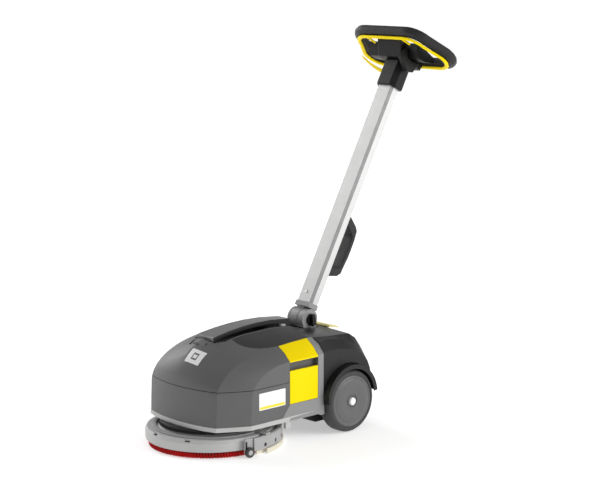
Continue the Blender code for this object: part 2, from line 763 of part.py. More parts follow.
def make_yoke():
    """Knuckle on the hinge pin with the collar that the pole stands in. Local Z runs up the pole."""
    knuckle = [(-y, -z) for y, z in tombstone(12.0, -34.0)]
    yoke = prism(knuckle, *KNUCKLE, "X")
    collar = box((-POLE_X - 1.0, -POLE_T - 4.0, 27.0), (POLE_X + 1.0, POLE_T - 2.0, POLE_START - GAP))
    join(yoke, collar)
    cut(yoke, cylinder(5.1, -60.0, 60.0, (0.0, 0.0), "X", 16))
    return named(on_pole(yoke), "pole_yoke", CAST_GREY)


def pole_section(grow=0.0):
    """A step runs up each side, next to the front face."""
    x, t = POLE_X + grow, POLE_T + grow
    right = [(x - 3.0, -t), (x - 3.0, -5.0 - grow), (x, -5.0 - grow), (x, t - 3.0), (x - 3.0, t)]
    return [(a, b - 3.0) for a, b in right] + [(-a, b - 3.0) for a, b in reversed(right)]


def make_pole():
    tube = prism(pole_section(), POLE_START, POLE_END)
    x, t = POLE_X - 6.2, POLE_T - 2.5
    cut(tube, prism([(-x, -t - 3.0), (x, -t - 3.0), (x, t - 3.0), (-x, t - 3.0)], POLE_START - 5.0, POLE_END + 5.0))
    return named(on_pole(tube), "pole_tube", ALUMINIUM)


def make_screw(name, radius, centre, along, mat=STEEL):
    """A low screw head on the pole's front (-1) or rear (+1) face. centre is (x, height)."""
    face = -POLE_T - 3.0 - GAP if along < 0 else 0.0
    head = cylinder(radius, face - 1.6, face, centre, "Y", 12)
    return named(on_pole(head), name, mat)


GRIP_SCREWS = (163.0, 236.0)


def make_carry_grip():
    """D-shaped grip on the back of the pole, for lifting the machine."""
    back = POLE_T - 3.0 + GAP
    outer = [(back, 121.0), (46.0, 134.0), (55.0, 144.0), (60.5, 194.0), (60.5, 236.0), (57.0, 263.0), (48.0, 272.0)]
    outer.append((back, 291.0))
    inner = [(back + 6.0, 149.0), (40.0, 152.0), (46.0, 160.0), (49.0, 194.0), (48.5, 244.0), (back + 6.0, 264.0)]
    grip = prism(outer, -18.0, 18.0, "X")
    cut(grip, prism(inner, -30.0, 30.0, "X"))
    bevel(grip, 2.5, 2, 50.0)
    for height in GRIP_SCREWS:
        cut(grip, cylinder(4.6, back + 4.0, back + 9.0, (0.0, height), "Y", 12))
    return named(on_pole(grip), "carry_grip", SOFT_BLACK)


def make_grip_screw(name, height):
    back = POLE_T - 3.0 + GAP
    return named(on_pole(cylinder(4.0, back + 4.3, back + 7.4, (0.0, height), "Y", 12)), name, STEEL)


def make_clamp():
    """Sleeve that holds the steering head on top of the pole."""
    outer = [(-33, -12), (-22, -26), (22, -26), (33, -12), (33, 14), (26, 20), (-26, 20), (-33, 14)]
    clamp = prism(outer, CLAMP_START, CLAMP_END)
    bevel(clamp, 2.0, 1, 70.0)
    cut(clamp, prism(pole_section(0.4), CLAMP_START - 5.0, CLAMP_END - 0.1 + 5.0))
    return named(on_pole(clamp), "handle_clamp", BLACK)


# --- steering head ------------------------------------------------------------------------------------------
RING_V = Vector((0.0, cos(RING_TILT), -sin(RING_TILT)))
RING_N = Vector((0.0, sin(RING_TILT), cos(RING_TILT)))
RING_ORIGIN = Vector((0.0, *RING_FRONT))


def on_ring(u, v, lift=0.0):
    """A point of the steering ring's plane: u across, v down the slope to the operator, lift above it."""
    return RING_ORIGIN + Vector((u, 0.0, 0.0)) + RING_V * v + RING_N * lift


def ring_path(grow=0.0, per_corner=6):
    """Rounded trapezoid of the ring, as (u, v), with its corners as arcs."""
    front, rear, depth = RING_HALF_FRONT + grow, RING_HALF_REAR + grow, RING_DEPTH + grow
    slant = atan2(rear - front, depth)
    path = []
    for u, v, radius, start, end in (
        (front - 48.0, 46.0 - grow, 46.0, -90.0, -slant * 180 / pi),
        (rear - 46.0, depth - 42.0, 42.0, -slant * 180 / pi, 90.0),
    ):
        for k in range(per_corner + 1):
            angle = radians(start + (end - start) * k / per_corner)
            path.append((u + radius * cos(angle), v + radius * sin(angle)))
    return path + [(-u, v) for u, v in reversed(path)]


def sweep_ring(path, half_wide, half_thick, lift, sides=10):
    """A closed oval tube along a path in the ring's plane."""
    bm = bmesh.new()
    loops = []
    count = len(path)
    for k in range(count):
        here = Vector(path[k])
        ahead = Vector(path[(k + 1) % count]) - here
        behind = here - Vector(path[k - 1])
        along = (ahead.normalized() + behind.normalized()).normalized()
        out = Vector((along.y, -along.x))
        loop = []
        for i in range(sides):
            angle = 2 * pi * i / sides
            spot = here + out * half_wide * cos(angle)
            loop.append(bm.verts.new(on_ring(spot.x, spot.y, lift + half_thick * sin(angle))))
        loops.append(loop)
    for k in range(count):
        there = loops[(k + 1) % count]
        for i in range(sides):
            j = (i + 1) % sides
            bm.faces.new((loops[k][i], loops[k][j], there[j], there[i]))
    return new_object(bm, "ring")


RING_LIFT = 17.5
HEAD_SIDE = [(616.0, 897.0), (612.0, 947.0), (617.0, 952.0), (697.0, 895.0), (697.0, 875.0), (684.0, 861.0), (668.0, 866.0)]
PANEL_FRONT, PANEL_REAR = HEAD_SIDE[2], HEAD_SIDE[3]
WING = [(627.0, 902.0), (627.0, 938.0), (636.0, 938.0), (694.0, 897.0), (690.0, 885.0), (655.0, 890.0)]
HEAD_X, WING_X = 42.0, 85.0
BAIL_TRAVEL = 4.0


def make_steering():
    """Padded ring, start bail under it and the control head in their middle."""
    ring = sweep_ring(ring_path(3.0), 16.0, 13.5, RING_LIFT)
    cut(ring, sweep_ring(ring_path(), 6.3, 3.4 + BAIL_TRAVEL + 0.5, 0.0, 8))
    bail = sweep_ring(ring_path(), 5.5, 3.4, 0.0, 8)
    for start, end in ((-60.0, -50.0), (62.0, 72.0)):
        join(bail, sweep_rod(on_ring(start, 2.0, -0.2), on_ring(end, 27.0, -0.2), 2.9))
    head = prism(HEAD_SIDE, -HEAD_X, HEAD_X, "X")
    bevel(head, 4.0, 2, 25.0)
    for u in (-1, 1):
        low, high = sorted((u * (HEAD_X - 3.0), u * WING_X))
        join(head, prism(WING, low, high, "X"))
    low = RING_ORIGIN + RING_V * 10.0 + RING_N * 12.5
    bridge = [low, low + RING_N * 9.0, low + RING_V * 30.0 + RING_N * 3.0, low + RING_V * 30.0 - RING_N * 6.0]
    join(head, prism([(spot.y, spot.z) for spot in bridge], -34.0, 34.0, "X"))
    cut(head, sweep_ring(ring_path(3.0), 16.0 + GAP, 13.5 + GAP, RING_LIFT))
    cut(head, on_pole(box((-60, -60, 560), (60, 60, CLAMP_END + GAP))))
    return (
        named(ring, "steering_ring", SOFT_BLACK),
        named(bail, "start_bail", YELLOW),
        named(head, "control_head", BLACK),
    )


def sweep_rod(start, end, radius, sides=8):
    bm = bmesh.new()
    along = end - start
    turn = along.to_track_quat("Z", "Y").to_matrix().to_4x4()
    place = Matrix.Translation((start + end) / 2) @ turn
    bmesh.ops.create_cone(
        bm, cap_ends=True, segments=sides, radius1=radius, radius2=radius, depth=along.length, matrix=place
    )
    return new_object(bm, "rod")


def on_panel(obj):
    """Moves a piece modelled on a level panel at the origin onto the head's sloping top."""
    corner_a, corner_b = Vector((0.0, *PANEL_FRONT)), Vector((0.0, *PANEL_REAR))
    middle = (corner_a + corner_b) / 2
    tilt = atan2(corner_b.z - corner_a.z, corner_b.y - corner_a.y)
    obj.data.transform(Matrix.Translation(middle) @ Matrix.Rotation(tilt, 4, "X"))
    return obj


def make_panel_pieces(head):
    """Display window and two push buttons, each in its own pocket of the head."""
    display = box((-26.0, -2.0, -1.2), (26.0, 14.0, 0.8))
    power = cylinder(7.0, -5.0, 2.4, (-14.0, -17.0), steps=20)
    mode = cylinder(7.0, -5.0, 2.4, (14.0, -17.0), steps=20)
    for low, high in (((-26.4, -2.4, -1.6), (26.4, 14.4, 6.0)),):
        cut(head, on_panel(box(low, high)))
    for x in (-14.0, 14.0):
        cut(head, on_panel(cylinder(7.4, -8.5, 6.0, (x, -17.0), steps=20)))
    return (
        named(on_panel(display), "battery_display", SCREEN),
        named(on_panel(power), "power_button", YELLOW),
        named(on_panel(mode), "mode_button", SATIN_BLACK),
    )


def make_side_pod():
    """Box beside the neck, on the side at +X."""
    pod = prism([(601, 903), (620, 926), (626.4, 926), (626.4, 900), (650, 888), (667, 884), (643, 862), (620, 868)],
                42.4, 58.0, "X")
    bevel(pod, 2.0, 1, 30.0)
    return named(pod, "cable_pod", BLACK)


LEVER_PIVOT = Vector((-41.0, 0.0, 683.0))


def make_release_lever():
    """Pointed yellow lever on the -X side of the clamp."""
    root = [(-35.5, 679.0), (-35.5, 687.0), (-50.0, 692.0), (-90.0, 703.0), (-136.0, 726.0), (-138.0, 724.0)]
    under = [(-108.0, 703.0), (-78.0, 685.0), (-52.0, 676.0)]
    lever = prism(root + under, -4.0, 4.0, "Y")
    return named(on_pole(lever), "clamp_lever", YELLOW)


def make_clamp_knob():
    """Wing knob on the end of the hinge pin."""
    knob = cylinder(12.0, 27.6, 33.0, (HINGE_Y, HINGE_Z), "X", 20)
    wing = prism(
        [
            (HINGE_Y - 5.0, HINGE_Z + 14.0),
            (HINGE_Y + 5.0, HINGE_Z + 15.0),
            (HINGE_Y + 9.0, HINGE_Z - 12.0),
            (HINGE_Y - 3.0, HINGE_Z - 16.0),
        ],
        27.6,
        42.0,
        "X",
    )
    join(knob, wing)
    return named(bevel(knob, 1.5, 1, 50.0), "clamp_knob", BLACK)


TAB_Y, TAB_Z = 357.0, 237.6


def make_battery_release():
    """Flat push plate behind the hinge, swinging on a barrel along its front edge; it frees the battery door."""
    shape = [(TAB_Y - 1.0, 236.4), (TAB_Y - 1.0, 241.2), (390.0, 233.4), (390.0, 229.4)]
    lever = prism(shape, -46.0, 46.0, "X")
    join(lever, cylinder(3.6, -44.0, 44.0, (TAB_Y, TAB_Z), "X", 12))
    return named(lever, "battery_release", PALE_YELLOW)


# --- assembly -----------------------------------------------------------------------------------------------


def finish(objects, pivot=(0.0, 0.0, 0.0), pivot_name=None):
    """Writes meshes in metres, each with its origin on its joint's axis; a group hangs on an empty there."""
    place = Vector((pivot[0], pivot[1] + BRUSH_Y, pivot[2])) * MM
    parent = None
    if pivot_name:
        parent = bpy.data.objects.new(pivot_name, None)
        parent.empty_display_size = 0.03
        parent.location = place
        bpy.context.collection.objects.link(parent)
    shift = Matrix.Diagonal((MM, MM, MM, 1.0)) @ Matrix.Translation((-pivot[0], -pivot[1], -pivot[2]))
    for obj in objects:
        obj.data.transform(shift)
        obj.data.shade_smooth()
        obj.data.set_sharp_from_angle(angle=radians(32.0))
        if parent:
            obj.parent = parent
        else:
            obj.location = place


def build():
    frame = [
        make_chassis_frame(),
        make_side_panel("left_side_panel"),
        make_top_cover(),
        make_rear_housing(),
        make_wheel_arch("left_wheel_arch"),
        make_underbody(),
        make_deck(),
        make_collar(),
        *make_drive(),
        make_hinge_base(),
        named(cylinder(4.95, -30.0, 27.2, (HINGE_Y, HINGE_Z), "X", 16), "hinge_pin", STEEL),
        named(cylinder(AXLE_R, -175.5, 175.5, (WHEEL_Y, WHEEL_R), "X", 24), "wheel_axle", STEEL),
        named(bevel(box((-66, 238, 98), (66, 386, 192)), 4.0, 2), "battery_pack", BLACK),
        named(bevel(box((-118, 124, 72.5), (-20, 196, 150)), 3.0, 1), "controller_box", MOTOR_GREY),
        revolve(
            [(0, 72.5), (34, 72.5), (38, 76), (38, 112), (44, 118), (44, 140), (30, 150), (0, 150)],
            (66.0, 160.0),
            steps=28,
            name="suction_turbine",
            mat=MOTOR_GREY,
        ),
    ]
    for name in ("side_panel", "wheel_arch"):
        frame.append(mirrored(bpy.data.objects[f"left_{name}"], f"right_{name}"))
    finish(frame)

    finish([make_clean_tank(), make_dirty_tank(), make_well_tray(), make_carry_handle()], (0, 60, RIM_TOP), "tank_lift")
    latch = make_latch("left_latch")
    other = mirrored(latch, "right_latch")
    finish([latch], (CREASE_X + 0.2, TANK_BACK, LATCH_PIVOT_Z))
    finish([other], (-CREASE_X - 0.2, TANK_BACK, LATCH_PIVOT_Z))
    finish([make_battery_door()], (0.0, DOOR_HINGE_Y, DOOR_LOW - 0.2))
    finish([make_battery_release()], (0.0, TAB_Y, TAB_Z))
    finish(make_brush(), pivot_name="brush_spindle")
    finish(make_squeegee(), pivot_name="squeegee_swivel")
    for name, degrees in (("left_roller", SQUEEGEE_ENDS[0] - 3.5), ("right_roller", SQUEEGEE_ENDS[1] + 3.5)):
        spot = (170.0 * cos(radians(degrees)), 170.0 * sin(radians(degrees)), ROLLER_Z)
        finish([make_roller(name, degrees)], spot)
    finish(make_wheel(1), (WHEEL_OUT, WHEEL_Y, WHEEL_R), "left_wheel_spin")
    finish(make_wheel(-1), (-WHEEL_OUT, WHEEL_Y, WHEEL_R), "right_wheel_spin")

    ring, bail, head = make_steering()
    display, power, mode = make_panel_pieces(head)
    pole = [
        make_yoke(),
        make_pole(),
        make_screw("pole_foot_screw", 4.0, (-2.0, 66.0), -1),
        make_carry_grip(),
        make_grip_screw("lower_grip_screw", GRIP_SCREWS[0]),
        make_grip_screw("upper_grip_screw", GRIP_SCREWS[1]),
        make_clamp(),
        ring,
        head,
        display,
        make_side_pod(),
    ]
    finish(pole, (0.0, HINGE_Y, HINGE_Z), "pole_pivot")
    finish([make_clamp_knob()], (24.0, HINGE_Y, HINGE_Z))
    finish([bail], RING_ORIGIN)
    finish([power], RING_ORIGIN)
    finish([mode], RING_ORIGIN)
    lever_at = Matrix.Translation((0.0, HINGE_Y, HINGE_Z)) @ Matrix.Rotation(-LEAN, 4, "X") @ LEVER_PIVOT
    finish([make_release_lever()], lever_at)
    discard(BODY, BODY_INNER)


build()
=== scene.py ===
"""Looks of a compact floor scrubber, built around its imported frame.

Shapes are made in millimetres with the origin on the floor under the brush's centre, +Z up and -Y to the front;
place() moves each finished piece into the frame.
"""

from math import atan2, cos, pi, radians, sin, tau

import bmesh
import bpy
from mathutils import Matrix, Vector


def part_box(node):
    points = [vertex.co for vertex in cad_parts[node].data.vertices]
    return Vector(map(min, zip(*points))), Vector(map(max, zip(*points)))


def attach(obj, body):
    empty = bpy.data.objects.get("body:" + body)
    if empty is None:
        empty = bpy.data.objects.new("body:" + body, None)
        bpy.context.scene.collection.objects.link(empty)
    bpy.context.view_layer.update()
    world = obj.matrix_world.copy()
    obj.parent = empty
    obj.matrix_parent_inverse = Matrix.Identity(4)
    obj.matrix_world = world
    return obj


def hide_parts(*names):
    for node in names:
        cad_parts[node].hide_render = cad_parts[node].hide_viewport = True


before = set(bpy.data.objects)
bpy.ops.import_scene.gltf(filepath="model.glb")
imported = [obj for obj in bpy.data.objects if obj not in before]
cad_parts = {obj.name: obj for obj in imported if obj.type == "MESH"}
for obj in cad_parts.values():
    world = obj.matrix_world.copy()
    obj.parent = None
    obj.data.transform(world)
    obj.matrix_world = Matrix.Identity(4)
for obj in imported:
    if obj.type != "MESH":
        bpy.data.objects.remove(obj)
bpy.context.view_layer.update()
BRUSH_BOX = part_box("brush_bristles")
BRUSH = Vector(((BRUSH_BOX[0][0] + BRUSH_BOX[1][0]) / 2, (BRUSH_BOX[0][1] + BRUSH_BOX[1][1]) / 2, 0.0))
MM = 0.001

# --- camera, floor and light --------------------------------------------------------------------------------
TARGET = BRUSH + Vector((0.0, 0.298417, 0.459333))
CAMERA_AZIMUTH, CAMERA_ELEVATION, CAMERA_DISTANCE, LENS = radians(46.693), radians(9.522), 4.3556, 104.70


def add_camera():
    data = bpy.data.cameras.new("camera")
    data.lens = LENS
    data.sensor_width = 36.0
    data.clip_end = 100.0
    camera = bpy.data.objects.new("camera", data)
    bpy.context.collection.objects.link(camera)
    level = cos(CAMERA_ELEVATION)
    away = Vector((sin(CAMERA_AZIMUTH) * level, -cos(CAMERA_AZIMUTH) * level, sin(CAMERA_ELEVATION)))
    camera.location = TARGET + CAMERA_DISTANCE * away
    camera.rotation_euler = (-away).to_track_quat("-Z", "Y").to_euler()
    bpy.context.scene.camera = camera


def add_area_light(name, spot, aim, size, power, tint=(1.0, 1.0, 1.0)):
    data = bpy.data.lights.new(name, "AREA")
    data.shape = "RECTANGLE"
    data.size, data.size_y = size
    data.energy = power
    data.color = tint
    light = bpy.data.objects.new(name, data)
    bpy.context.collection.objects.link(light)
    light.location = spot
    light.rotation_euler = (Vector(aim) - Vector(spot)).to_track_quat("-Z", "Y").to_euler()


def add_studio():
    """White all round near the floor line and dimmer overhead, with two big softboxes and a pale floor."""
    world = bpy.data.worlds.new("studio")
    bpy.context.scene.world = world
    world.use_nodes = True
    nodes, links = world.node_tree.nodes, world.node_tree.links
    background = nodes["Background"]
    coordinates = nodes.new("ShaderNodeTexCoord")
    split = nodes.new("ShaderNodeSeparateXYZ")
    height = nodes.new("ShaderNodeValToRGB")
    height.color_ramp.elements[0].position = 0.0
    height.color_ramp.elements[0].color = (1.0, 1.0, 1.0, 1.0)
    height.color_ramp.elements[1].position = 0.85
    height.color_ramp.elements[1].color = (0.34, 0.34, 0.34, 1.0)
    middle = height.color_ramp.elements.new(0.16)
    middle.color = (0.5, 0.5, 0.5, 1.0)
    links.new(coordinates.outputs["Generated"], split.inputs["Vector"])
    links.new(split.outputs["Z"], height.inputs["Fac"])
    links.new(height.outputs["Color"], background.inputs["Color"])
    background.inputs["Strength"].default_value = 1.0
    add_area_light("key_softbox", (-3.4, -0.6, 2.2), (0.0, 0.0, 0.3), (3.0, 3.0), 92.0)
    add_area_light("side_softbox", (3.4, 1.7, 1.8), (0.0, 0.1, 0.3), (2.6, 2.6), 100.0)
    bpy.context.scene.view_settings.view_transform = "Standard"
    floor = new_mesh_object("studio_floor", box_bmesh((-80000, -80000, -60), (80000, 80000, -0.2)))
    floor.data.transform(Matrix.Scale(MM, 4))
    floor.data.materials.append(FLOOR)


# --- materials ----------------------------------------------------------------------------------------------


def shader_of(name, roughness, metallic=0.0, coat=0.0, specular=0.5):
    made = bpy.data.materials.new(name)
    made.use_nodes = True
    shader = made.node_tree.nodes["Principled BSDF"]
    shader.inputs["Metallic"].default_value = metallic
    shader.inputs["Roughness"].default_value = roughness
    shader.inputs["Coat Weight"].default_value = coat
    shader.inputs["Coat Roughness"].default_value = 0.2
    shader.inputs["Specular IOR Level"].default_value = specular
    return made, made.node_tree.nodes, made.node_tree.links, shader


def noise_node(nodes, links, coordinates, scale, detail=2.0, stretch=None, turn=None):
    """A noise in object space, optionally stretched along one direction."""
    texture = nodes.new("ShaderNodeTexNoise")
    texture.inputs["Scale"].default_value = scale
    texture.inputs["Detail"].default_value = detail
    source = coordinates.outputs["Object"]
    if stretch or turn:
        mapping = nodes.new("ShaderNodeMapping")
        mapping.inputs["Scale"].default_value = stretch or (1.0, 1.0, 1.0)
        mapping.inputs["Rotation"].default_value = turn or (0.0, 0.0, 0.0)
        links.new(source, mapping.inputs["Vector"])
        source = mapping.outputs["Vector"]
    links.new(source, texture.inputs["Vector"])
    return texture


def ramp_between(nodes, links, source, low, high, span=(0.3, 0.7)):
    """Maps a noise onto a range of plain numbers."""
    ranged = nodes.new("ShaderNodeMapRange")
    ranged.inputs["From Min"].default_value = span[0]
    ranged.inputs["From Max"].default_value = span[1]
    ranged.inputs["To Min"].default_value = low
    ranged.inputs["To Max"].default_value = high
    links.new(source, ranged.inputs["Value"])
    return ranged.outputs["Result"]


def surface(name, colour, roughness, grain=0.2, grain_scale=1600.0, mottle=0.06, polish=0.05, metallic=0.0,
            coat=0.0, specular=0.5, stretch=None, turn=None, dust=0.0):
    """Moulded or finished material: slow colour drift, patchy polish, fine grain and patches of dust."""
    made, nodes, links, shader = shader_of(name, roughness, metallic, coat, specular)
    coordinates = nodes.new("ShaderNodeTexCoord")
    drift = noise_node(nodes, links, coordinates, 9.0, 3.0)
    ramp = nodes.new("ShaderNodeValToRGB")
    ramp.color_ramp.elements[0].position = 0.3
    ramp.color_ramp.elements[1].position = 0.7
    ramp.color_ramp.elements[0].color = (*[c * (1.0 - mottle) for c in colour], 1.0)
    ramp.color_ramp.elements[1].color = (*[min(1.0, c * (1.0 + mottle)) for c in colour], 1.0)
    links.new(drift.outputs["Fac"], ramp.inputs["Fac"])
    colour_out = ramp.outputs["Color"]
    if dust:
        specks = noise_node(nodes, links, coordinates, 420.0, 6.0)
        share = ramp_between(nodes, links, specks.outputs["Fac"], 0.0, dust, (0.62, 0.8))
        blend = nodes.new("ShaderNodeMix")
        blend.data_type = "RGBA"
        blend.inputs["B"].default_value = (0.45, 0.44, 0.42, 1.0)
        links.new(share, blend.inputs["Factor"])
        links.new(colour_out, blend.inputs["A"])
        colour_out = blend.outputs["Result"]
    links.new(colour_out, shader.inputs["Base Color"])
    patches = noise_node(nodes, links, coordinates, 70.0, 4.0)
    links.new(ramp_between(nodes, links, patches.outputs["Fac"], roughness - polish, roughness + polish),
              shader.inputs["Roughness"])
    fine = noise_node(nodes, links, coordinates, grain_scale, 2.0, stretch, turn)
    bump = nodes.new("ShaderNodeBump")
    bump.inputs["Strength"].default_value = grain
    bump.inputs["Distance"].default_value = 0.0002
    links.new(fine.outputs["Fac"], bump.inputs["Height"])
    links.new(bump.outputs["Normal"], shader.inputs["Normal"])
    return made


POLE_LEAN = radians(28.7)
HOOD_GREY = surface("hood_grey_plastic", (0.106, 0.106, 0.106), 0.46, 0.12, 1800.0, 0.04, 0.04,
                    specular=0.42, dust=0.03)
# lighter than the hood grey: partly the handle's own grey, partly painted sheen on its top
HANDLE_SHEEN_GREY = surface("handle_grey_plastic_painted_sheen", (0.155, 0.155, 0.155), 0.34, 0.1, 1800.0, 0.05, 0.05)
BLACK = surface("black_plastic", (0.013, 0.013, 0.013), 0.42, 0.2, 1500.0, 0.1, 0.06, specular=0.28, dust=0.015)
SATIN_BLACK = surface("satin_black_plastic", (0.026, 0.026, 0.027), 0.3, 0.01, 900.0, 0.08, 0.015,
                      specular=0.42)
FRAME_GREY = surface("frame_grey_plastic", (0.23, 0.23, 0.23), 0.45, 0.2, 1500.0, 0.05, 0.06, dust=0.05)
HEAD_BLACK = surface("head_black_plastic", (0.006, 0.006, 0.006), 0.44, 0.15, 1500.0, 0.1, 0.05,
                     specular=0.22, dust=0.01)
LIGHT_GREY = surface("light_grey_plastic", (0.47, 0.47, 0.465), 0.48, 0.2, 1500.0, 0.05, 0.06, dust=0.05)
YELLOW = surface("yellow_plastic", (0.90, 0.69, 0.0), 0.45, 0.12, 1500.0, 0.02, 0.05, specular=0.3)
YELLOW.node_tree.nodes["Principled BSDF"].inputs["Specular Tint"].default_value = (1.0, 0.8, 0.02, 1.0)
PALE_YELLOW = surface("pale_yellow_plastic", (0.80, 0.72, 0.30), 0.5, 0.2, 1500.0, 0.04, 0.05)
SQUEEGEE_GREY = surface("squeegee_casting", (0.36, 0.36, 0.36), 0.42, 0.25, 900.0, 0.07, 0.07, dust=0.05)
CAST_GREY = surface("grey_casting", (0.27, 0.27, 0.27), 0.38, 0.25, 900.0, 0.07, 0.07, dust=0.05)
ALUMINIUM = surface("anodised_aluminium", (0.60, 0.60, 0.595), 0.48, 0.35, 2600.0, 0.02, 0.05, 0.25,
                    stretch=(1.0, 1.0, 0.02), turn=(POLE_LEAN, 0.0, 0.0))
# darker grey for the pole's chamfer faces: painted shade
CHAMFER_SHADE_GREY = surface("anodised_edge_painted_shade", (0.20, 0.20, 0.20), 0.5, 0.3, 2000.0, 0.05, 0.05, 0.4,
                      stretch=(1.0, 1.0, 0.02), turn=(POLE_LEAN, 0.0, 0.0))
STEEL = surface("zinc_steel", (0.50, 0.50, 0.50), 0.32, 0.3, 2200.0, 0.08, 0.08, 1.0)
TYRE = surface("tyre_rubber", (0.034, 0.034, 0.034), 0.6, 0.5, 700.0, 0.1, 0.06, dust=0.03)
WHEEL_GREY = surface("wheel_grey_plastic", (0.095, 0.095, 0.095), 0.33, 0.12, 1500.0, 0.06, 0.05, dust=0.05)
WHITE = surface("white_plastic", (0.82, 0.82, 0.82), 0.35, 0.1, 1500.0, 0.03, 0.05)
BEIGE = surface("beige_rubber", (0.70, 0.66, 0.54), 0.6, 0.3, 1100.0, 0.07, 0.06)
SOFT_BLACK = surface("soft_black_grip", (0.014, 0.014, 0.014), 0.5, 0.55, 1100.0, 0.12, 0.06,
                     specular=0.3, dust=0.012)
RED = surface("red_bristles", (0.40, 0.002, 0.002), 0.6, 1.0, 900.0, 0.3, 0.08,
              specular=0.15, stretch=(1.0, 1.0, 0.05))
# darker copy of the bristle red for the root ring: painted shade among the crowded tufts
ROOT_SHADE_RED = surface("red_bristle_roots_painted_shade", (0.12, 0.004, 0.004), 0.7, 1.0, 900.0, 0.3, 0.08,
                   specular=0.15, stretch=(1.0, 1.0, 0.05))
MOTOR_GREY = surface("motor_grey", (0.22, 0.22, 0.24), 0.5, 0.3, 900.0, 0.08, 0.08, 0.2)
SCREEN = surface("display_window", (0.012, 0.02, 0.02), 0.1, 0.02, 400.0, 0.2, 0.03, coat=0.6)
CHARGE_GREEN = surface("charge_bar_green", (0.10, 0.55, 0.12), 0.35, 0.05, 900.0, 0.05, 0.05)
PLATE = surface("badge_silver", (0.80, 0.80, 0.81), 0.35, 0.2, 1500.0, 0.05, 0.05)
LABEL_WHITE = surface("label_white", (0.86, 0.86, 0.85), 0.45, 0.05, 1200.0, 0.03, 0.05)
LABEL_YELLOW = surface("label_yellow", (0.90, 0.72, 0.02), 0.45, 0.05, 1200.0, 0.03, 0.05)
LABEL_GREY = surface("label_grey", (0.12, 0.12, 0.12), 0.45, 0.05, 1200.0, 0.08, 0.05)
FLOOR = surface("pale_floor", (0.86, 0.86, 0.86), 0.9, 0.02, 40.0, 0.004, 0.03, specular=0.1)


def glow_far_floor():
    """The floor shines a little, more so far from the machine, so that it stays evenly pale to its end."""
    nodes, links = FLOOR.node_tree.nodes, FLOOR.node_tree.links
    shader = nodes["Principled BSDF"]
    shader.inputs["Emission Color"].default_value = (1.0, 1.0, 1.0, 1.0)
    coordinates = nodes.new("ShaderNodeTexCoord")
    distance = nodes.new("ShaderNodeVectorMath")
    distance.operation = "LENGTH"
    links.new(coordinates.outputs["Object"], distance.inputs[0])
    links.new(ramp_between(nodes, links, distance.outputs["Value"], 0.44, 0.68, (0.7, 3.2)),
              shader.inputs["Emission Strength"])


glow_far_floor()

# --- mesh helpers -------------------------------------------------------------------------------------------


def new_mesh_object(name, bm):
    bmesh.ops.remove_doubles(bm, verts=bm.verts, dist=1e-4)
    bmesh.ops.recalc_face_normals(bm, faces=bm.faces)
    mesh = bpy.data.meshes.new(name)
    bm.to_mesh(mesh)
    bm.free()
    made = bpy.data.objects.new(name, mesh)
    bpy.context.collection.objects.link(made)
    return made


def box_bmesh(low, high):
    bm = bmesh.new()
    centre = (Vector(low) + Vector(high)) / 2
    size = Vector(high) - Vector(low)
    bmesh.ops.create_cube(bm, size=1.0, matrix=Matrix.Translation(centre) @ Matrix.Diagonal((*size, 1.0)))
    return bm


def box(low, high, name="box"):
    return new_mesh_object(name, box_bmesh(low, high))


def prism(outline, low, high, axis="Z", name="prism"):
    """A flat outline pushed along an axis: outline is (x, y) for Z, (y, z) for X and (x, z) for Y."""
    order = {
        "X": lambda a, b, c: (c, a, b),
        "Y": lambda a, b, c: (a, c, b),
        "Z": lambda a, b, c: (a, b, c),
    }[axis]
    bm = bmesh.new()
    face = bm.faces.new([bm.verts.new(order(a, b, low)) for a, b in outline])
    grown = bmesh.ops.extrude_face_region(bm, geom=[face])
    shift = Vector(order(0.0, 0.0, high - low))
    bmesh.ops.translate(bm, verts=[v for v in grown["geom"] if isinstance(v, bmesh.types.BMVert)], vec=shift)
    return new_mesh_object(name, bm)


def revolve(profile, centre=(0.0, 0.0), axis="Z", arc=(0.0, 360.0), steps=96, name="turned"):
    """A closed profile of (radius, height) turned about an axis."""
    full = abs(arc[1] - arc[0]) >= 360.0
    count = steps if full else steps + 1
    bm = bmesh.new()
    rings = []
    for i in range(count):
        angle = radians(arc[0] + (arc[1] - arc[0]) * i / steps)
        ring = []
        for r, h in profile:
            a = centre[0] + r * cos(angle)
            b = centre[1] + r * sin(angle)
            ring.append(bm.verts.new((a, b, h) if axis == "Z" else (h, a, b)))
        rings.append(ring)
    n = len(profile)
    for i in range(steps):
        here, there = rings[i], rings[(i + 1) % count]
        for k in range(n):
            if profile[k][0] > 0.0 or profile[(k + 1) % n][0] > 0.0:
                bm.faces.new((here[k], here[(k + 1) % n], there[(k + 1) % n], there[k]))
    if not full:
        bm.faces.new(rings[0])
        bm.faces.new(list(reversed(rings[-1])))
    bmesh.ops.remove_doubles(bm, verts=bm.verts, dist=1e-4)
    bmesh.ops.dissolve_degenerate(bm, edges=bm.edges, dist=1e-5)
    return new_mesh_object(name, bm)


def cylinder(radius, low, high, centre=(0.0, 0.0), axis="Z", steps=48, name="cylinder"):
    outline = [
        (centre[0] + radius * cos(tau * i / steps), centre[1] + radius * sin(tau * i / steps))
        for i in range(steps)
    ]
    return prism(outline, low, high, axis, name)


def applied(obj):
    graph = bpy.context.evaluated_depsgraph_get()
    mesh = bpy.data.meshes.new_from_object(obj.evaluated_get(graph))
    obj.modifiers.clear()
    obj.data = mesh
    return obj


def combine(obj, others, operation):
    for other in others:
        step = obj.modifiers.new(operation.lower(), "BOOLEAN")
        step.operation = operation
        step.solver = "EXACT"
        step.object = other
        applied(obj)
        bpy.data.objects.remove(other, do_unlink=True)
    return obj


def cut(obj, *cutters):
    return combine(obj, cutters, "DIFFERENCE")


def join(obj, *others):
    return combine(obj, others, "UNION")


def keep(obj, *regions):
    return combine(obj, regions, "INTERSECT")


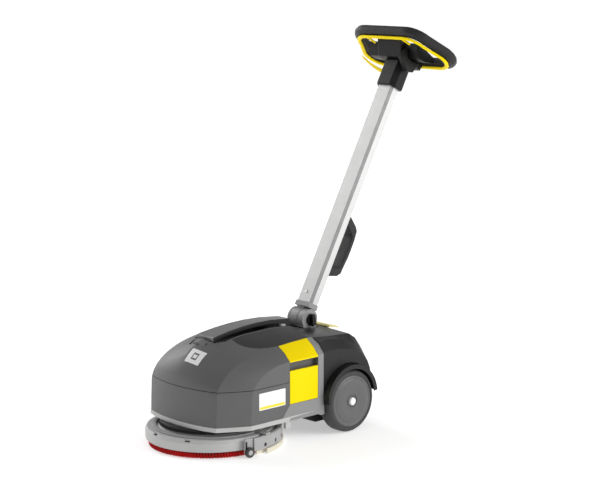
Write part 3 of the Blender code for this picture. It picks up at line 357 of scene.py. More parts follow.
def copy_of(obj, name="copy"):
    made = obj.copy()
    made.data = obj.data.copy()
    made.name = name
    bpy.context.collection.objects.link(made)
    return made


def mirrored(obj, name):
    made = copy_of(obj, name)
    made.data.transform(Matrix.Diagonal((-1.0, 1.0, 1.0, 1.0)))
    made.data.flip_normals()
    return made


def paint(obj, *materials, pick=None):
    """Gives the mesh its materials; pick(centre, normal) says which one a face takes."""
    obj.data.materials.clear()
    for made in materials:
        obj.data.materials.append(made)
    for polygon in obj.data.polygons:
        polygon.material_index = pick(polygon.center, polygon.normal) if pick else 0
    return obj


def place(obj, name, body, replaced=(), smooth=30.0):
    """Names a finished piece, moves it into the frame and lets it ride on its body."""
    obj.name = name
    obj.data.transform(Matrix.Translation(BRUSH) @ Matrix.Scale(MM, 4))
    obj.data.shade_smooth()
    obj.data.set_sharp_from_angle(angle=radians(smooth))
    weight = obj.modifiers.new("weight", "WEIGHTED_NORMAL")
    weight.weight = 60
    weight.keep_sharp = True
    applied(obj)
    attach(obj, body)
    if replaced:
        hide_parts(*replaced)
    return obj


# --- body shells --------------------------------------------------------------------------------------------
RIM_LOW, RIM_TOP = 61.0, 71.7
SEAM_Z, SEAM_HALF = 156.0, 0.75
CREASE_X, SHOULDER_X, SIDE_X = 122.0, 145.0, 163.0
TANK_BACK = 112.0
HOOP_FRONT, HOOP_BACK = 205.4, 223.6
REAR_Y = 404.0
SHELL = 3.0
GAP = 0.35
BADGE_SPOT = Vector((27.0, -67.0, 224.5))
SPINE_X, SPINE_BACK = 52.0, 273.0
WELL_FRONT, WELL_FLOOR, GRIP_X = -17.5, 236.0, 31.0
LATCH_LOW = 204.0
DOOR_X, DOOR_LOW, DOOR_HIGH = 71.0, 96.0, 196.0
ARCH_Y, ARCH_Z, ARCH_OUT = 307.0, 84.0, 86.0
Y_AXIS_POINTS = (110.0, 150.0, 205.0, 222.0, 226.0, 255.0, 289.0, 321.0, 350.0)
CROWN_TOP = (275.0, 276.0, 270.0, 265.0, 263.0, 252.0, 243.0, 239.0, 237.0)
CREASE_TOP = (238.0, 241.0, 244.0, 242.5, 242.0, 239.0, 236.5, 235.0, 233.0)
SHOULDER_TOP = (223.5, 225.5, 227.5, 228.0, 234.0, 237.0, 232.0, 223.5, 207.0)
SIDE_TOP = (206.0, 207.0, 208.0, 209.0, 211.0, 213.0, 211.0, 205.0, 191.0)
DOME_STEPS = 30
REAR_TAIL = ((372.0, 219.0), (390.0, 196.0), (400.0, 172.0), (404.0, 140.0), (REAR_Y, 40.0))
CROWN_TAIL = ((374.0, 223.0), (393.0, 199.0), (403.0, 173.0), (406.5, 140.0), (406.5, 40.0))
SHOULDER_TAIL = ((368.0, 196.0), (384.0, 176.0), (393.0, 156.0), (398.0, 132.0), (398.0, 40.0))
SIDE_TAIL = ((364.0, 181.0), (376.0, 166.0), (384.0, 148.0), (388.0, 126.0), (388.0, 40.0))
CROWN_SPLIT = (1.0, 0.94, 0.86, 0.77, 0.67, 0.56, 0.44, 0.31, 0.16, 0.0)
TONGUE = (
    (SPINE_X + 0.5, 25.0),
    (75.0, 26.0),
    (90.0, 33.0),
    (103.0, 46.0),
    (113.0, 62.0),
    (119.0, 80.0),
    (CREASE_X - 0.3, 104.0),
)


def mirror_outline(points):
    return [(-x, y) for x, y in reversed(points)]


def rail(front, foot, spring_z, tops, power, tail, inset):
    """One lengthwise line of the body: up the front, over the dome, along the top and down the rear."""
    points = [(foot + inset, 40.0), (foot + (front - foot) * 0.4 + inset, 100.0)]
    centre_y = Y_AXIS_POINTS[0]
    reach = centre_y - front - inset
    rise = tops[0] - inset - spring_z
    for i in range(DOME_STEPS + 1):
        angle = pi / 2 * i / DOME_STEPS
        flat = cos(angle) ** (2 / power)
        tall = sin(angle) ** (2 / power)
        points.append((centre_y - reach * flat, spring_z + rise * tall))
    for y, z in zip(Y_AXIS_POINTS[1:], tops[1:]):
        points.append((y, z - inset))
    for y, z in tail:
        points.append((y - inset, z - inset * (1.0 if z > 150.0 else 0.0)))
    return points


def body_solid(inset=0.0):
    """The whole body as one solid, shrunk by inset; the shells are cut out of two of these."""
    crown = rail(-104.0, -107.0, 140.0, CROWN_TOP, 2.5, CROWN_TAIL, inset)
    crease = rail(-82.0, -85.0, 142.0, CREASE_TOP, 2.0, REAR_TAIL, inset)
    side = rail(-9.0, -13.0, 136.0, SIDE_TOP, 2.0, SIDE_TAIL, inset)
    shoulder = []
    for k, ((y1, z1), (y2, z2)) in enumerate(zip(crease, side)):
        shoulder.append(((y1 + y2) / 2 - 1.0, (z1 + z2) / 2 + 1.0))
    bend = 2 + DOME_STEPS
    tops = list(zip(Y_AXIS_POINTS, SHOULDER_TOP)) + list(SHOULDER_TAIL)
    for k, (y, z) in enumerate(tops):
        lower = inset if z > 150.0 else 0.0
        shoulder[bend + k] = (y - (inset if k >= len(SHOULDER_TOP) else 0.0), z - lower)
    crease_x = CREASE_X - 0.5 * inset
    shoulder_x = SHOULDER_X - 0.8 * inset
    side_x = SIDE_X - inset
    bm = bmesh.new()
    rows = []
    for k in range(len(crown)):
        row = [(side_x, *side[k]), (shoulder_x, *shoulder[k])]
        for x in CROWN_SPLIT:
            rise = 1.0 - x**1.3
            bulge = 1.0 - x**2
            y = crease[k][0] + (crown[k][0] - crease[k][0]) * bulge
            z = crease[k][1] + (crown[k][1] - crease[k][1]) * rise
            row.append((crease_x * x, y, z))
        left = [(-x, y, z) for x, y, z in reversed(row) if x > 0.0]
        rows.append([bm.verts.new(p) for p in row + left])
    width = len(rows[0])
    for here, there in zip(rows, rows[1:]):
        for i in range(width - 1):
            bm.faces.new((here[i], here[i + 1], there[i + 1], there[i]))
    bm.faces.new([row[0] for row in rows])
    bm.faces.new([row[-1] for row in reversed(rows)])
    bm.faces.new(rows[-1] + list(reversed(rows[0])))
    return new_mesh_object("body_solid", bm)


BODY = body_solid()
BODY_INNER = body_solid(SHELL)


def region(source, low, high):
    """The part of the body between two corners."""
    return keep(copy_of(source), box(low, high))


def rim_outline(inset=0.0):
    """Plan of the body's foot: bowed front, cornered cheeks and straight sides."""
    right = [
        (0.0, -107.0 + inset),
        (45.0, -104.5 + inset),
        (88.0, -97.0 + inset),
        (CREASE_X - 0.4 * inset, -85.5 + inset),
        (SIDE_X + 0.5 - inset, -13.0 + 0.5 * inset),
        (SIDE_X + 0.5 - inset, HOOP_BACK - inset),
    ]
    return right + [(-x, y) for x, y in reversed(right) if x > 0.0]


def frame_corner(grow):
    """Where the light-grey frame climbs up beside the tank, as (y, z)."""
    return [
        (90.0 - grow, 40.0),
        (90.0 - grow, 75.0 + grow),
        (111.0 - grow, 101.5 + grow),
        (140.0, 101.5 + grow),
        (140.0, 40.0),
    ]


def well_outline(grow=0.0):
    """Plan of the hollow under the carrying handle."""
    inner = SPINE_X - 2.0 + grow
    right = [(GRIP_X + 5.0 + grow, WELL_FRONT - grow), (inner, 7.0), (inner, 300.0)]
    return right + mirror_outline(right)


def make_clean_tank():
    tank = region(BODY, (-200, -200, RIM_TOP + GAP), (200, TANK_BACK - 0.5, SEAM_Z - SEAM_HALF))
    hollow = region(BODY_INNER, (-200, -200, RIM_TOP + 3.5), (200, TANK_BACK - 3.5, SEAM_Z + 5.0))
    cut(hollow, cylinder(69.0, 60.0, 180.0, steps=36))
    for side in (-1, 1):
        low, high = sorted((side * 144.0, side * 175.0))
        cut(hollow, prism([(y - 3.0, z + 3.0) for y, z in frame_corner(1.0)], low, high, "X"))
    cut(tank, hollow, cylinder(66.0, 60.0, 180.0, steps=36))
    for side in (-1, 1):
        low, high = sorted((side * 150.0, side * 175.0))
        cut(tank, prism(frame_corner(GAP), low, high, "X"))
    return tank


def make_dirty_tank():
    tank = region(BODY, (-200, -200, SEAM_Z + SEAM_HALF), (200, TANK_BACK - 0.5, 300))
    join(tank, region(BODY, (-SPINE_X, 60, 229), (SPINE_X, SPINE_BACK, 300)))
    for points in (TONGUE, mirror_outline(TONGUE)):
        side = 1.0 if points[0][0] > 0 else -1.0
        near = [(x - side * 0.4 if abs(x) < 60 else x + side * 0.3, y - 0.4) for x, y in points]
        back = [(near[-1][0], 130.0), (near[0][0], 130.0)]
        cut(tank, prism(near + back, 190.0, 320.0))
    hollow = region(BODY_INNER, (-200, -200, SEAM_Z + 4.0), (200, TANK_BACK - 4.0, 300.0))
    cut(hollow, box((-200, 20.0, 186.0), (200, 200.0, 330.0)))
    cut(hollow, prism(well_outline(3.0), WELL_FLOOR - 3.0, 330.0))
    cut(tank, hollow)
    cut(tank, prism(well_outline(), WELL_FLOOR, 330.0))
    cut(tank, prism([(-30, 165), (30, 165), (30, 182), (-30, 182)], 100.0, 120.0, "Y"))
    return tank


def make_top_cover():
    cover = copy_of(BODY)
    plan = [
        *TONGUE,
        (CREASE_X - 0.3, 352.0),
        (-CREASE_X + 0.3, 352.0),
        *mirror_outline(TONGUE),
        (-SPINE_X - 0.5, SPINE_BACK + 0.6),
        (SPINE_X + 0.5, SPINE_BACK + 0.6),
    ]
    keep(cover, prism(plan, 150.0, 320.0))
    cut(cover, copy_of(BODY_INNER), box((-30.4, 277.6, 180.0), (30.4, 336.4, 300.0)))
    return cover


def arch_outline(radius, steps=20):
    """Wheel opening in side view: straight down from a half circle."""
    angles = [pi * k / steps for k in range(steps + 1)]
    arc = [(ARCH_Y + radius * cos(angle), ARCH_Z + radius * sin(angle)) for angle in angles]
    return [(ARCH_Y + radius, 40.0)] + arc + [(ARCH_Y - radius, 40.0)]


def make_rear_housing():
    housing = keep(copy_of(BODY), box((-200, HOOP_BACK + GAP, 61.0), (200, 450, 300)))
    cut(housing, keep(body_solid(3.5), box((-200, 200, 20), (200, 450, 300))))
    cut(housing, box((-DOOR_X - 0.5, 370, DOOR_LOW - 0.5), (DOOR_X + 0.5, 450, DOOR_HIGH + 0.5)))
    cut(housing, box((-CREASE_X - 0.05, 210, 220), (CREASE_X + 0.05, 352.4, 300)))
    for sign in (-1, 1):
        low, high = sorted((sign * 126.0, sign * 190.0))
        cut(housing, prism(arch_outline(ARCH_OUT + 2.0), low, high, "X"))
    return housing


def make_chassis_frame():
    tray = prism(rim_outline(), RIM_LOW, RIM_TOP)
    cut(tray, prism(rim_outline(6.0), RIM_LOW + 5.0, 90.0), cylinder(98.0, 40.0, 90.0, steps=48))
    hoop = keep(copy_of(BODY), box((-200, HOOP_FRONT, RIM_LOW), (200, HOOP_BACK, 300)))
    cut(hoop, box((-CREASE_X + 0.2, 190, 212), (CREASE_X - 0.2, 240, 320)))
    cut(hoop, box((-140, 190, 84), (140, 240, 200)))
    side = [
        (-10.0, RIM_LOW),
        (108.0, RIM_LOW),
        (114.0, 68.0),
        (201.0, 72.0),
        (214.0, 57.0),
        (226.0, 57.0),
        (226.0, 80.0),
        (HOOP_BACK, 80.0),
        (HOOP_BACK, 101.5),
        (111.0, 101.5),
        (90.0, 75.0),
        (90.0, RIM_TOP),
        (-10.0, RIM_TOP),
    ]
    for sign in (-1, 1):
        low, high = sorted((sign * 155.0, sign * (SIDE_X + 0.5)))
        join(hoop, prism(side, low, high, "X"))
        low, high = sorted((sign * 144.5, sign * 148.5))
        front, back = TANK_BACK + 0.5, HOOP_FRONT + 2.0
        wall = [(front, 84.0), (back, 84.0), (back, 203.5), (front, 203.5)]
        join(hoop, prism(wall, low, high, "X"))
        low, high = sorted((sign * 148.0, sign * 156.0))
        join(hoop, prism([(105.0, 41.5), (120.5, 41.5), (120.5, 64.0), (105.0, 64.0)], low, high, "X"))
        join(hoop, prism([(118.0, 84.0), (200.0, 84.0), (200.0, 95.0), (118.0, 95.0)], low, high, "X"))
    join(tray, hoop)
    return tray


def make_latch():
    """The left tank latch; the right one is its mirror image."""
    latch = region(BODY, (CREASE_X + 0.2, TANK_BACK + 0.4, LATCH_LOW), (200, HOOP_FRONT - 0.5, 300))
    cut(latch, body_solid(4.0))
    return latch


# --- softened nodes -----------------------------------------------------------------------------------------
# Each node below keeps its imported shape; its edges are rounded here and its faces are shaded as one moulding.
SOFTENED = {
    "chassis": {
        "chassis_frame": (FRAME_GREY, 0.9),
        "left_side_panel": (YELLOW, 0.5),
        "right_side_panel": (YELLOW, 0.5),
        "top_cover": (SATIN_BLACK, 0.8),
        "rear_housing": (BLACK, 0.9),
        "left_wheel_arch": (BLACK, 0.7),
        "right_wheel_arch": (BLACK, 0.7),
        "underbody_pan": (BLACK, 0.8),
        "brush_deck": (LIGHT_GREY, 0.8),
        "deck_collar": (SOFT_BLACK, 0.4),
        "brush_gearbox": (MOTOR_GREY, 0.8),
        "brush_motor": (MOTOR_GREY, 0.8),
        "hinge_base": (CAST_GREY, 0.8),
        "hinge_pin": (STEEL, 0.4),
        "wheel_axle": (STEEL, 0.5),
        "battery_pack": (BLACK, 0.8),
        "controller_box": (MOTOR_GREY, 0.8),
        "suction_turbine": (MOTOR_GREY, 0.8),
    },
    "tanks": {
        "clean_water_tank": (HOOD_GREY, 0.9),
        "dirty_water_tank": (HOOD_GREY, 0.9),
        "handle_well_tray": (BLACK, 0.6),
        "tank_carry_handle": (HANDLE_SHEEN_GREY, 0.8),
    },
    "left_latch": {"left_latch": (YELLOW, 0.9)},
    "right_latch": {"right_latch": (YELLOW, 0.9)},
    "battery_door": {"battery_door": (BLACK, 0.8)},
    "battery_release": {"battery_release": (PALE_YELLOW, 0.6)},
    "brush": {"brush_bristles": (RED, 0.3), "brush_plate": (BLACK, 0.6), "drive_hub": (MOTOR_GREY, 0.6)},
    "squeegee": {
        "squeegee_carrier": (SQUEEGEE_GREY, 0.5),
        "squeegee_front_blade": (BEIGE, 0.3),
        "squeegee_rear_blade": (BEIGE, 0.3),
        "squeegee_swivel_ring": (SQUEEGEE_GREY, 0.5),
        "left_roller_bracket": (SQUEEGEE_GREY, 0.5),
        "right_roller_bracket": (SQUEEGEE_GREY, 0.5),
    },
    "left_roller": {"left_roller": (TYRE, 0.5)},
    "right_roller": {"right_roller": (TYRE, 0.5)},
    "left_wheel": {
        "left_tyre": (TYRE, 0.8),
        "left_wheel_disc": (WHEEL_GREY, 0.6),
        "left_hub_cap": (WHITE, 0.4),
    },
    "right_wheel": {
        "right_tyre": (TYRE, 0.8),
        "right_wheel_disc": (WHEEL_GREY, 0.6),
        "right_hub_cap": (WHITE, 0.4),
    },
    "pole": {
        "pole_yoke": (CAST_GREY, 0.8),
        "pole_tube": (ALUMINIUM, 0.5),
        "pole_foot_screw": (STEEL, 0.3),
        "carry_grip": (SOFT_BLACK, 0.8),
        "lower_grip_screw": (STEEL, 0.3),
        "upper_grip_screw": (STEEL, 0.3),
        "handle_clamp": (HEAD_BLACK, 1.2),
        "steering_ring": (SOFT_BLACK, 0.3),
        "control_head": (HEAD_BLACK, 1.0),
        "battery_display": (SCREEN, 0.3),
        "cable_pod": (HEAD_BLACK, 1.0),
    },
    "clamp_knob": {"clamp_knob": (HEAD_BLACK, 0.5)},
    "start_bail": {"start_bail": (YELLOW, 0.3)},
    "power_button": {"power_button": (YELLOW, 0.5)},
    "mode_button": {"mode_button": (SATIN_BLACK, 0.5)},
    "clamp_lever": {"clamp_lever": (YELLOW, 0.7)},
}


def soften(node, body, made, width):
    """A copy of a node's shape with rounded edges, which then stands for it."""
    bm = bmesh.new()
    bm.from_mesh(bpy.data.objects[node].data)
    bmesh.ops.remove_doubles(bm, verts=bm.verts, dist=1e-6)
    bmesh.ops.dissolve_limit(bm, angle_limit=radians(0.6), verts=bm.verts, edges=bm.edges)
    mesh = bpy.data.meshes.new(node + "_soft")
    bm.to_mesh(mesh)
    bm.free()
    piece = bpy.data.objects.new(node + "_soft", mesh)
    bpy.context.collection.objects.link(piece)
    mesh.materials.append(made)
    mesh.shade_smooth()
    edge = piece.modifiers.new("edge", "BEVEL")
    edge.width = width * MM
    edge.segments = 2
    edge.limit_method = "ANGLE"
    edge.angle_limit = radians(24.0)
    edge.use_clamp_overlap = True
    weight = piece.modifiers.new("weight", "WEIGHTED_NORMAL")
    weight.weight = 60
    applied(piece)
    piece.data.set_sharp_from_angle(angle=radians(48.0))
    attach(piece, body)
    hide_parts(node)
    return piece


def soften_all():
    for body, nodes in SOFTENED.items():
        for node, (made, width) in nodes.items():
            cad = bpy.data.objects[node].data
            for slot in range(max(1, len(cad.materials))):
                if slot < len(cad.materials):
                    cad.materials[slot] = made
                else:
                    cad.materials.append(made)
            if not bpy.data.objects[node].hide_render:
                soften(node, body, made, width)


# --- detailed pieces ----------------------------------------------------------------------------------------


def rounded(obj, width, angle=13.0, segments=2):
    """Rounds every edge sharper than the angle and keeps the large faces flat-looking beside the round."""
    edge = obj.modifiers.new("edge", "BEVEL")
    edge.width = width
    edge.segments = segments
    edge.limit_method = "ANGLE"
    edge.angle_limit = radians(angle)
    edge.use_clamp_overlap = True
    return applied(obj)


def frame_finish(spot, normal):
    """Light rim under the tanks, dark wall behind the latch's finger slot and mid grey elsewhere."""
    if spot.z < 73.0 and spot.y < 120.0:
        return 1
    if TANK_BACK < spot.y < HOOP_FRONT + 1.0 and 96.0 < spot.z and abs(spot.x) < 152.0:
        return 2
    return 0


def add_shells():
    """Finely shaped tank, cover, rear housing and frame mouldings."""
    clean = rounded(make_clean_tank(), 0.7)
    paint(clean, HOOD_GREY)
    place(clean, "clean_tank_moulding", "tanks", ["clean_water_tank"])

    dirty = make_dirty_tank()
    scoop = region(BODY, (-27.0, -44.0, 200.0), (27.0, -17.8, 300.0))
    cut(scoop, body_solid(2.2))
    cut(dirty, scoop)
    paint(rounded(dirty, 0.7), HOOD_GREY)
    place(dirty, "dirty_tank_moulding", "tanks", ["dirty_water_tank"])

    # painted shade: a soft black ring just inside the seam between the tanks makes the gap read dark
    seam_shade_ring = keep(body_solid(1.3), box((-200, -200, SEAM_Z - 2.0), (200, TANK_BACK - 1.0, SEAM_Z + 2.0)))
    cut(seam_shade_ring, body_solid(2.8))
    paint(seam_shade_ring, SOFT_BLACK)
    place(seam_shade_ring, "tank_seam_shade_ring", "tanks")

    cover = rounded(make_top_cover(), 0.9)
    paint(cover, SATIN_BLACK)
    place(cover, "top_cover_moulding", "chassis", ["top_cover"])

    housing = make_rear_housing()
    for k in range(5):
        for sign in (-1, 1):
            low, high = sorted((sign * 84.0, sign * 112.0))
            cut(housing, box((low, 380.0, 104.0 + 9.0 * k), (high, 402.2, 108.0 + 9.0 * k)))
    paint(rounded(housing, 0.8), BLACK)
    place(housing, "rear_housing_moulding", "chassis", ["rear_housing"])

    chassis = rounded(make_chassis_frame(), 0.8)
    paint(chassis, FRAME_GREY, LIGHT_GREY, HOOD_GREY, pick=frame_finish)
    place(chassis, "chassis_frame_moulding", "chassis", ["chassis_frame"])

    latch = rounded(make_latch(), 1.1)
    paint(latch, YELLOW)
    other = mirrored(latch, "right")
    place(latch, "left_latch_moulding", "left_latch", ["left_latch"])
    place(other, "right_latch_moulding", "right_latch", ["right_latch"])


def add_badge():
    """Silver plate with a raised border and a plain hollow square, following the dome."""
    tank = bpy.data.objects["dirty_tank_moulding"]
    centre = BADGE_SPOT
    up = Vector((0.0, 0.72, 0.69)).normalized()
    across = Vector((1.0, 0.0, 0.0))
    out = across.cross(up).normalized()
    count, half = 16, 21.0
    bm = bmesh.new()
    rows = []
    for j in range(count + 1):
        row = []
        for i in range(count + 1):
            u, v = half * (2 * i / count - 1), half * 0.92 * (2 * j / count - 1)
            start = (BRUSH / MM + centre + across * u + up * v + out * 60.0) * MM
            hit, spot, normal, _ = tank.ray_cast(start, -out)
            spot = spot / MM - BRUSH / MM if hit else centre + across * u + up * v
            edge = min(i, j, count - i, count - j)
            row.append((spot, normal if hit else out, 1.0 if 0 < edge < 2 else 0.75))
        rows.append(row)
    front = [[bm.verts.new(s + n * lift) for s, n, lift in row] for row in rows]
    back = [[bm.verts.new(s - n * 0.05) for s, n, lift in row] for row in rows]
    for j in range(count):
        for i in range(count):
            bm.faces.new((front[j][i], front[j][i + 1], front[j + 1][i + 1], front[j + 1][i]))
            bm.faces.new((back[j][i], back[j + 1][i], back[j + 1][i + 1], back[j][i + 1]))
    for k in range(count):
        bm.faces.new((front[0][k], back[0][k], back[0][k + 1], front[0][k + 1]))
        bm.faces.new((front[count][k], front[count][k + 1], back[count][k + 1], back[count][k]))
        bm.faces.new((front[k][0], front[k + 1][0], back[k + 1][0], back[k][0]))
        bm.faces.new((front[k][count], back[k][count], back[k + 1][count], front[k + 1][count]))
    plate = new_mesh_object("badge", bm)
    inner = half * 0.42

    def pick(spot, normal):
        offset = spot - centre
        inside = abs(offset.dot(across)) < inner and abs(offset.dot(up)) < inner
        return 1 if inside and not max(abs(offset.dot(across)), abs(offset.dot(up))) < inner * 0.5 else 0

    paint(plate, PLATE, LABEL_GREY, pick=pick)
    place(plate, "dome_badge", "tanks")


LABEL_PLATE = (13.0, 97.0, 104.0, 145.0)  # low and high Y, low and high Z
LABEL_STRIP = (15.0, 95.0, 106.0, 112.0)


def add_labels():
    """Blank plate with a coloured strip along its foot on each flank of the lower tank."""
    for sign, name in ((1, "left"), (-1, "right")):
        low, high = sorted((sign * (SIDE_X - 0.3), sign * (SIDE_X + 0.45)))
        plate = prism(rounded_rectangle(*LABEL_PLATE, 2.0), low, high, "X")
        paint(plate, LABEL_WHITE)
        place(plate, name + "_label_plate", "tanks")
        low, high = sorted((sign * SIDE_X, sign * (SIDE_X + 0.65)))
        band = prism(rounded_rectangle(*LABEL_STRIP, 1.0), low, high, "X")
        paint(band, LABEL_YELLOW)
        place(band, name + "_label_band", "tanks")


def rounded_rectangle(a0, a1, b0, b1, radius, steps=5):
    points = []
    for ca, cb, start in ((a1, b1, 0.0), (a0, b1, 90.0), (a0, b0, 180.0), (a1, b0, 270.0)):
        ca = ca - radius if ca == a1 else ca + radius
        cb = cb - radius if cb == b1 else cb + radius
        for k in range(steps + 1):
            angle = radians(start + 90.0 * k / steps)
            points.append((ca + radius * cos(angle), cb + radius * sin(angle)))
    return points


BRISTLE_ROWS = ((148.2, 132, 3.1), (142.0, 124, 3.0), (120.0, 90, 3.4), (96.0, 72, 3.4), (78.0, 58, 3.4))


def add_bristles():
    """Rows of bristle tufts under a dark red root ring, whose darkness is painted shade among the tufts."""
    roots = revolve([(72.0, 9.5), (147.5, 9.5), (147.5, 14.0), (72.0, 14.0)], steps=96, name="roots")
    paint(roots, ROOT_SHADE_RED)
    place(roots, "bristle_roots", "brush")
    bm = bmesh.new()
    for row, (radius, count, size) in enumerate(BRISTLE_ROWS):
        for k in range(count):
            angle = tau * (k + 0.5 * (row % 2)) / count
            wobble = sin(k * 12.9898 + row * 4.1) * 43758.5453
            wobble = (wobble - int(wobble)) * 0.6
            root = Vector((radius * cos(angle), radius * sin(angle), 12.5))
            lean = Vector((cos(angle), sin(angle), 0.0))
            side = Vector((-sin(angle), cos(angle), 0.0))
            top, bottom = [], []
            for i in range(6):
                turn = tau * i / 6
                ring = lean * cos(turn) * 0.5 + side * sin(turn)
                top.append(bm.verts.new(root + ring * size * 0.75))
                foot = root + ring * size + lean * (0.2 * wobble) + side * wobble
                reach = Vector((foot.x, foot.y, 0.0))
                if reach.length > 149.9:
                    reach = reach.normalized() * 149.9
                bottom.append(bm.verts.new((reach.x, reach.y, 0.1 + 0.5 * abs(wobble))))
            for i in range(6):
                bm.faces.new((top[i], bottom[i], bottom[(i + 1) % 6], top[(i + 1) % 6]))
            bm.faces.new(top)
            bm.faces.new(list(reversed(bottom)))
    mesh = bpy.data.meshes.new("bristle_tufts")
    bmesh.ops.recalc_face_normals(bm, faces=bm.faces)
    bm.to_mesh(mesh)
    bm.free()
    tufts = bpy.data.objects.new("bristle_tufts", mesh)
    bpy.context.collection.objects.link(tufts)
    paint(tufts, RED)
    place(tufts, "bristle_tufts", "brush", ["brush_bristles"])


WHEEL_Y, WHEEL_R = 306.0, 78.0


def add_wheels():
    """Round-shouldered tyres, dished discs with a raised ring, and domed hub caps."""
    where = (WHEEL_Y, WHEEL_R)
    tyre_profile = [(64.3, 142.4), (66.0, 142.0), (72.0, 142.0)]
    for k in range(7):
        angle = radians(90.0 - 15.0 * k)
        tyre_profile.append((72.0 + 6.0 * cos(angle), 149.0 - 7.0 * sin(angle)))
    for x in (154.0, 160.0):
        tyre_profile += [(78.0, x - 0.9), (77.2, x - 0.5), (77.2, x + 0.5), (78.0, x + 0.9)]
    for k in range(9):
        angle = radians(11.25 * k)
        tyre_profile.append((68.5 + 9.5 * cos(angle), 166.0 + 12.0 * sin(angle)))
    tyre_profile += [(67.0, 178.0), (66.2, 177.2), (65.4, 177.2), (64.3, 177.6)]
    disc_profile = [(8.1, 150.0), (20.0, 150.0), (20.0, 166.0), (64.0, 160.0), (64.0, 177.2), (62.5, 178.6),
                    (60.0, 179.0), (57.5, 178.2), (56.5, 178.0), (55.0, 178.9), (50.0, 179.6), (44.0, 180.0),
                    (36.0, 179.9), (28.0, 179.4), (24.0, 179.0), (17.5, 178.9), (16.8, 178.4),
                    (16.4, 177.0), (14.6, 176.8), (14.0, 177.6), (12.4, 177.6), (11.6, 176.4), (8.1, 176.0)]
    cap_profile = [(0.0, 176.4), (9.6, 176.4), (9.6, 181.6), (9.2, 182.4), (8.2, 183.1), (6.0, 183.6),
                   (3.0, 183.9), (0.0, 184.0)]
    for side, name in ((1, "left"), (-1, "right")):
        for label, profile, made, node in (
            ("tyre_moulding", tyre_profile, TYRE, "tyre"),
            ("wheel_disc_moulding", disc_profile, WHEEL_GREY, "wheel_disc"),
            ("hub_cap_moulding", cap_profile, WHITE, "hub_cap"),
        ):
            piece = revolve(profile, where, "X", steps=96, name=label)
            if side < 0:
                piece.data.transform(Matrix.Diagonal((-1.0, 1.0, 1.0, 1.0)))
                piece.data.flip_normals()
            paint(piece, made)
            place(piece, f"{name}_{label}", f"{name}_wheel", [f"{name}_{node}"], 34.0)


LEAN = radians(28.7)
HINGE_Y, HINGE_Z = 307.0, 259.5
POLE_X = 24.0


def on_pole(obj):
    """Stands a piece modelled on a vertical pole through the hinge axis over to the pole's rest lean."""
    obj.data.transform(Matrix.Translation((0.0, HINGE_Y, HINGE_Z)) @ Matrix.Rotation(-LEAN, 4, "X"))
    return obj


def add_pole():
    """Extruded tube with broad chamfers beside its front face, painted darker grey as painted shade, and the
    slim clamp lever.
    """
    half = [(POLE_X - 3.6, -18.0), (POLE_X - 2.9, -17.6), (POLE_X - 0.3, -8.6), (POLE_X, -8.0), (POLE_X, 9.0),
            (POLE_X - 0.9, 11.1), (POLE_X - 3.0, 12.0)]
    outline = half + [(-x, y) for x, y in reversed(half)]
    tube = prism(outline, 40.0, 712.0, name="tube")
    bore = prism([(-17.8, -15.5), (17.8, -15.5), (17.8, 9.5), (-17.8, 9.5)], 35.0, 717.0)
    cut(tube, bore)
    # the chamfer faces take the darker grey as painted shade
    paint(tube, ALUMINIUM, CHAMFER_SHADE_GREY,
          pick=lambda spot, normal: 1 if abs(normal.x) > 0.7 and normal.y < -0.1 else 0)
    place(on_pole(tube), "pole_extrusion", "pole", ["pole_tube"], 20.0)

    top = [(-35.5, 687.0), (-50.0, 692.0), (-72.0, 698.5), (-92.0, 705.5), (-112.0, 714.0), (-127.0, 721.5),
           (-136.5, 726.0), (-138.0, 724.6)]
    under = [(-126.0, 716.0), (-108.0, 706.5), (-90.0, 697.5), (-72.0, 690.0), (-52.0, 683.0), (-35.5, 679.0)]
    lever = rounded(prism(top + under, -4.0, 4.0, "Y"), 1.0, 40.0)
    paint(lever, YELLOW)
    place(on_pole(lever), "clamp_lever_moulding", "clamp_lever", ["clamp_lever"])


def turned_to(obj, degrees):
    obj.data.transform(Matrix.Rotation(radians(degrees), 4, "Z"))
    return obj


def add_squeegee_details():
    """Black plates as painted shade in the carrier's strap holes and the brackets' slots, and roller hubs with
    a screw.
    """
    for k in range(12):
        # painted shade: a black plate at the bottom of each strap hole makes it read dark
        hole = box((172.8, -4.0, 18.8), (174.15, 4.0, 27.0))
        paint(hole, BLACK)
        place(turned_to(hole, 8.0 + 15.0 * k), f"strap_hole_shade_{k + 1}", "squeegee")
    blade = revolve([(174.35, 0.4), (177.2, 0.4), (177.2, 11.0), (176.2, 12.5), (174.35, 12.5)],
                    arc=(9.0, 171.0), steps=96)
    paint(blade, BEIGE)
    place(blade, "rear_blade_rubber", "squeegee", ["squeegee_rear_blade"])
    for name, degrees, side in (("left", -8.5, 1), ("right", 188.5, -1)):
        screw_profile = [(0.0, 178.4), (6.0, 178.4), (6.0, 179.2), (5.4, 179.7),
                         (3.6, 179.9), (3.2, 179.4), (0.0, 179.4)]
        hub = revolve(screw_profile, (0.0, 13.0), "X", steps=48)
        paint(hub, STEEL)
        place(turned_to(hub, degrees), name + "_roller_screw", name + "_roller")
        middle = -6.5 * side
        # painted shade: a black plate on the bracket stands for its slot
        slot = prism(rounded_rectangle(middle - 2.2, middle + 2.2, 21.0, 39.0, 2.1), 169.8, 170.75, "X")
        paint(slot, BLACK)
        place(turned_to(slot, degrees), name + "_bracket_slot_shade", "squeegee")


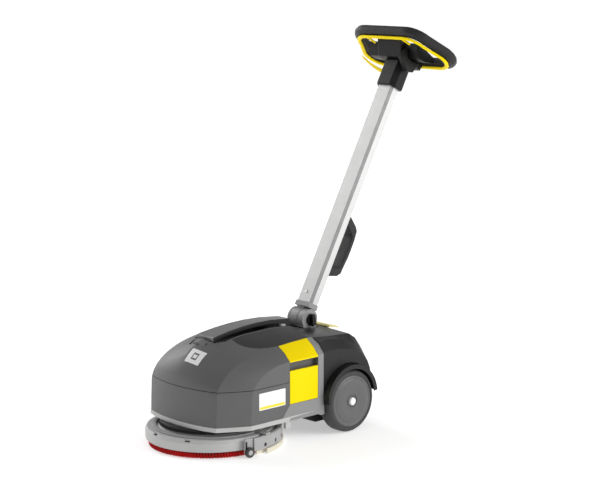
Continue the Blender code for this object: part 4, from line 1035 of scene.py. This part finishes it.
def add_top_details():
    """Light spring clip in the hollow under the handle, and black flanks and underside on the handle itself as
    painted shade.
    """
    clip = rounded(box((23.5, 205.0, 252.0), (33.0, 219.0, 262.5)), 1.0, 40.0)
    paint(clip, LIGHT_GREY)
    place(clip, "handle_spring_clip", "tanks")
    bar = bpy.data.objects["tank_carry_handle_soft"]
    bar.data.materials.append(BLACK)
    # painted shade: faces of the handle turned sideways or down are painted black
    for polygon in bar.data.polygons:
        if abs(polygon.normal.x) > 0.6 or polygon.normal.z < -0.3:
            polygon.material_index = 1


def add_collar_ribs():
    """Upright ribs round the rubber collar under the frame."""
    bm = bmesh.new()
    for k in range(132):
        turn = Matrix.Rotation(tau * k / 132, 4, "Z")
        middle = turn @ Matrix.Translation((124.1, 0.0, 55.4)) @ Matrix.Diagonal((1.8, 2.4, 9.6, 1.0))
        bmesh.ops.create_cube(bm, size=1.0, matrix=middle)
    mesh = bpy.data.meshes.new("collar_ribs")
    bm.to_mesh(mesh)
    bm.free()
    ribs = bpy.data.objects.new("collar_ribs", mesh)
    bpy.context.collection.objects.link(ribs)
    paint(rounded(ribs, 0.4, 40.0, 1), SOFT_BLACK)
    place(ribs, "collar_ribs", "chassis")


PANEL_MIDDLE, PANEL_TILT = Vector((0.0, 657.0, 923.5)), atan2(895.0 - 952.0, 697.0 - 617.0)


def on_panel(obj):
    """Moves a piece modelled on a level panel at the origin onto the head's sloping top."""
    obj.data.transform(Matrix.Translation(PANEL_MIDDLE) @ Matrix.Rotation(PANEL_TILT, 4, "X"))
    return obj


def add_panel_details():
    """Charge bars in the display and a ring on each button."""
    for k in range(4):
        bar = prism(rounded_rectangle(-19.0 + 10.0 * k, -12.0 + 10.0 * k, 2.5, 9.5, 0.8), 0.7, 1.0)
        paint(bar, CHARGE_GREEN if k < 3 else LABEL_GREY)
        place(on_panel(bar), f"charge_bar_{k + 1}", "pole")
    for name, x, made in (("power", -14.0, LABEL_GREY), ("mode", 14.0, WHITE)):
        ring = revolve([(3.0, 2.3), (3.9, 2.3), (3.9, 2.62), (3.0, 2.62)], (x, -17.0), steps=40)
        paint(ring, made)
        place(on_panel(ring), name + "_button_ring", name + "_button")


def add_rear_details():
    """Blank rating plate and a grip rib on the battery door."""
    plate = prism(rounded_rectangle(-30.0, 30.0, 112.0, 140.0, 2.0), 404.9, 406.95, "Y")
    paint(plate, PLATE)
    place(plate, "rating_plate", "battery_door")
    for k in range(3):
        foot = 117.0 + 7.5 * k
        bar = prism(rounded_rectangle(-24.0, 24.0 - 10.0 * k, foot, foot + 2.5, 0.8), 405.0, 407.1, "Y")
        paint(bar, LABEL_GREY)
        place(bar, f"rating_plate_bar_{k + 1}", "battery_door")
    rib = rounded(prism(rounded_rectangle(-26.0, 26.0, 158.0, 164.0, 2.5), 401.5, 407.6, "Y"), 1.0, 40.0)
    paint(rib, BLACK)
    place(rib, "battery_door_grip_rib", "battery_door")


# --- assembly -----------------------------------------------------------------------------------------------

add_camera()
add_studio()
add_shells()
bpy.data.objects.remove(BODY, do_unlink=True)
bpy.data.objects.remove(BODY_INNER, do_unlink=True)
add_badge()
add_labels()
add_bristles()
add_wheels()
add_pole()
add_squeegee_details()
add_collar_ribs()
add_panel_details()
add_rear_details()
soften_all()
add_top_details()
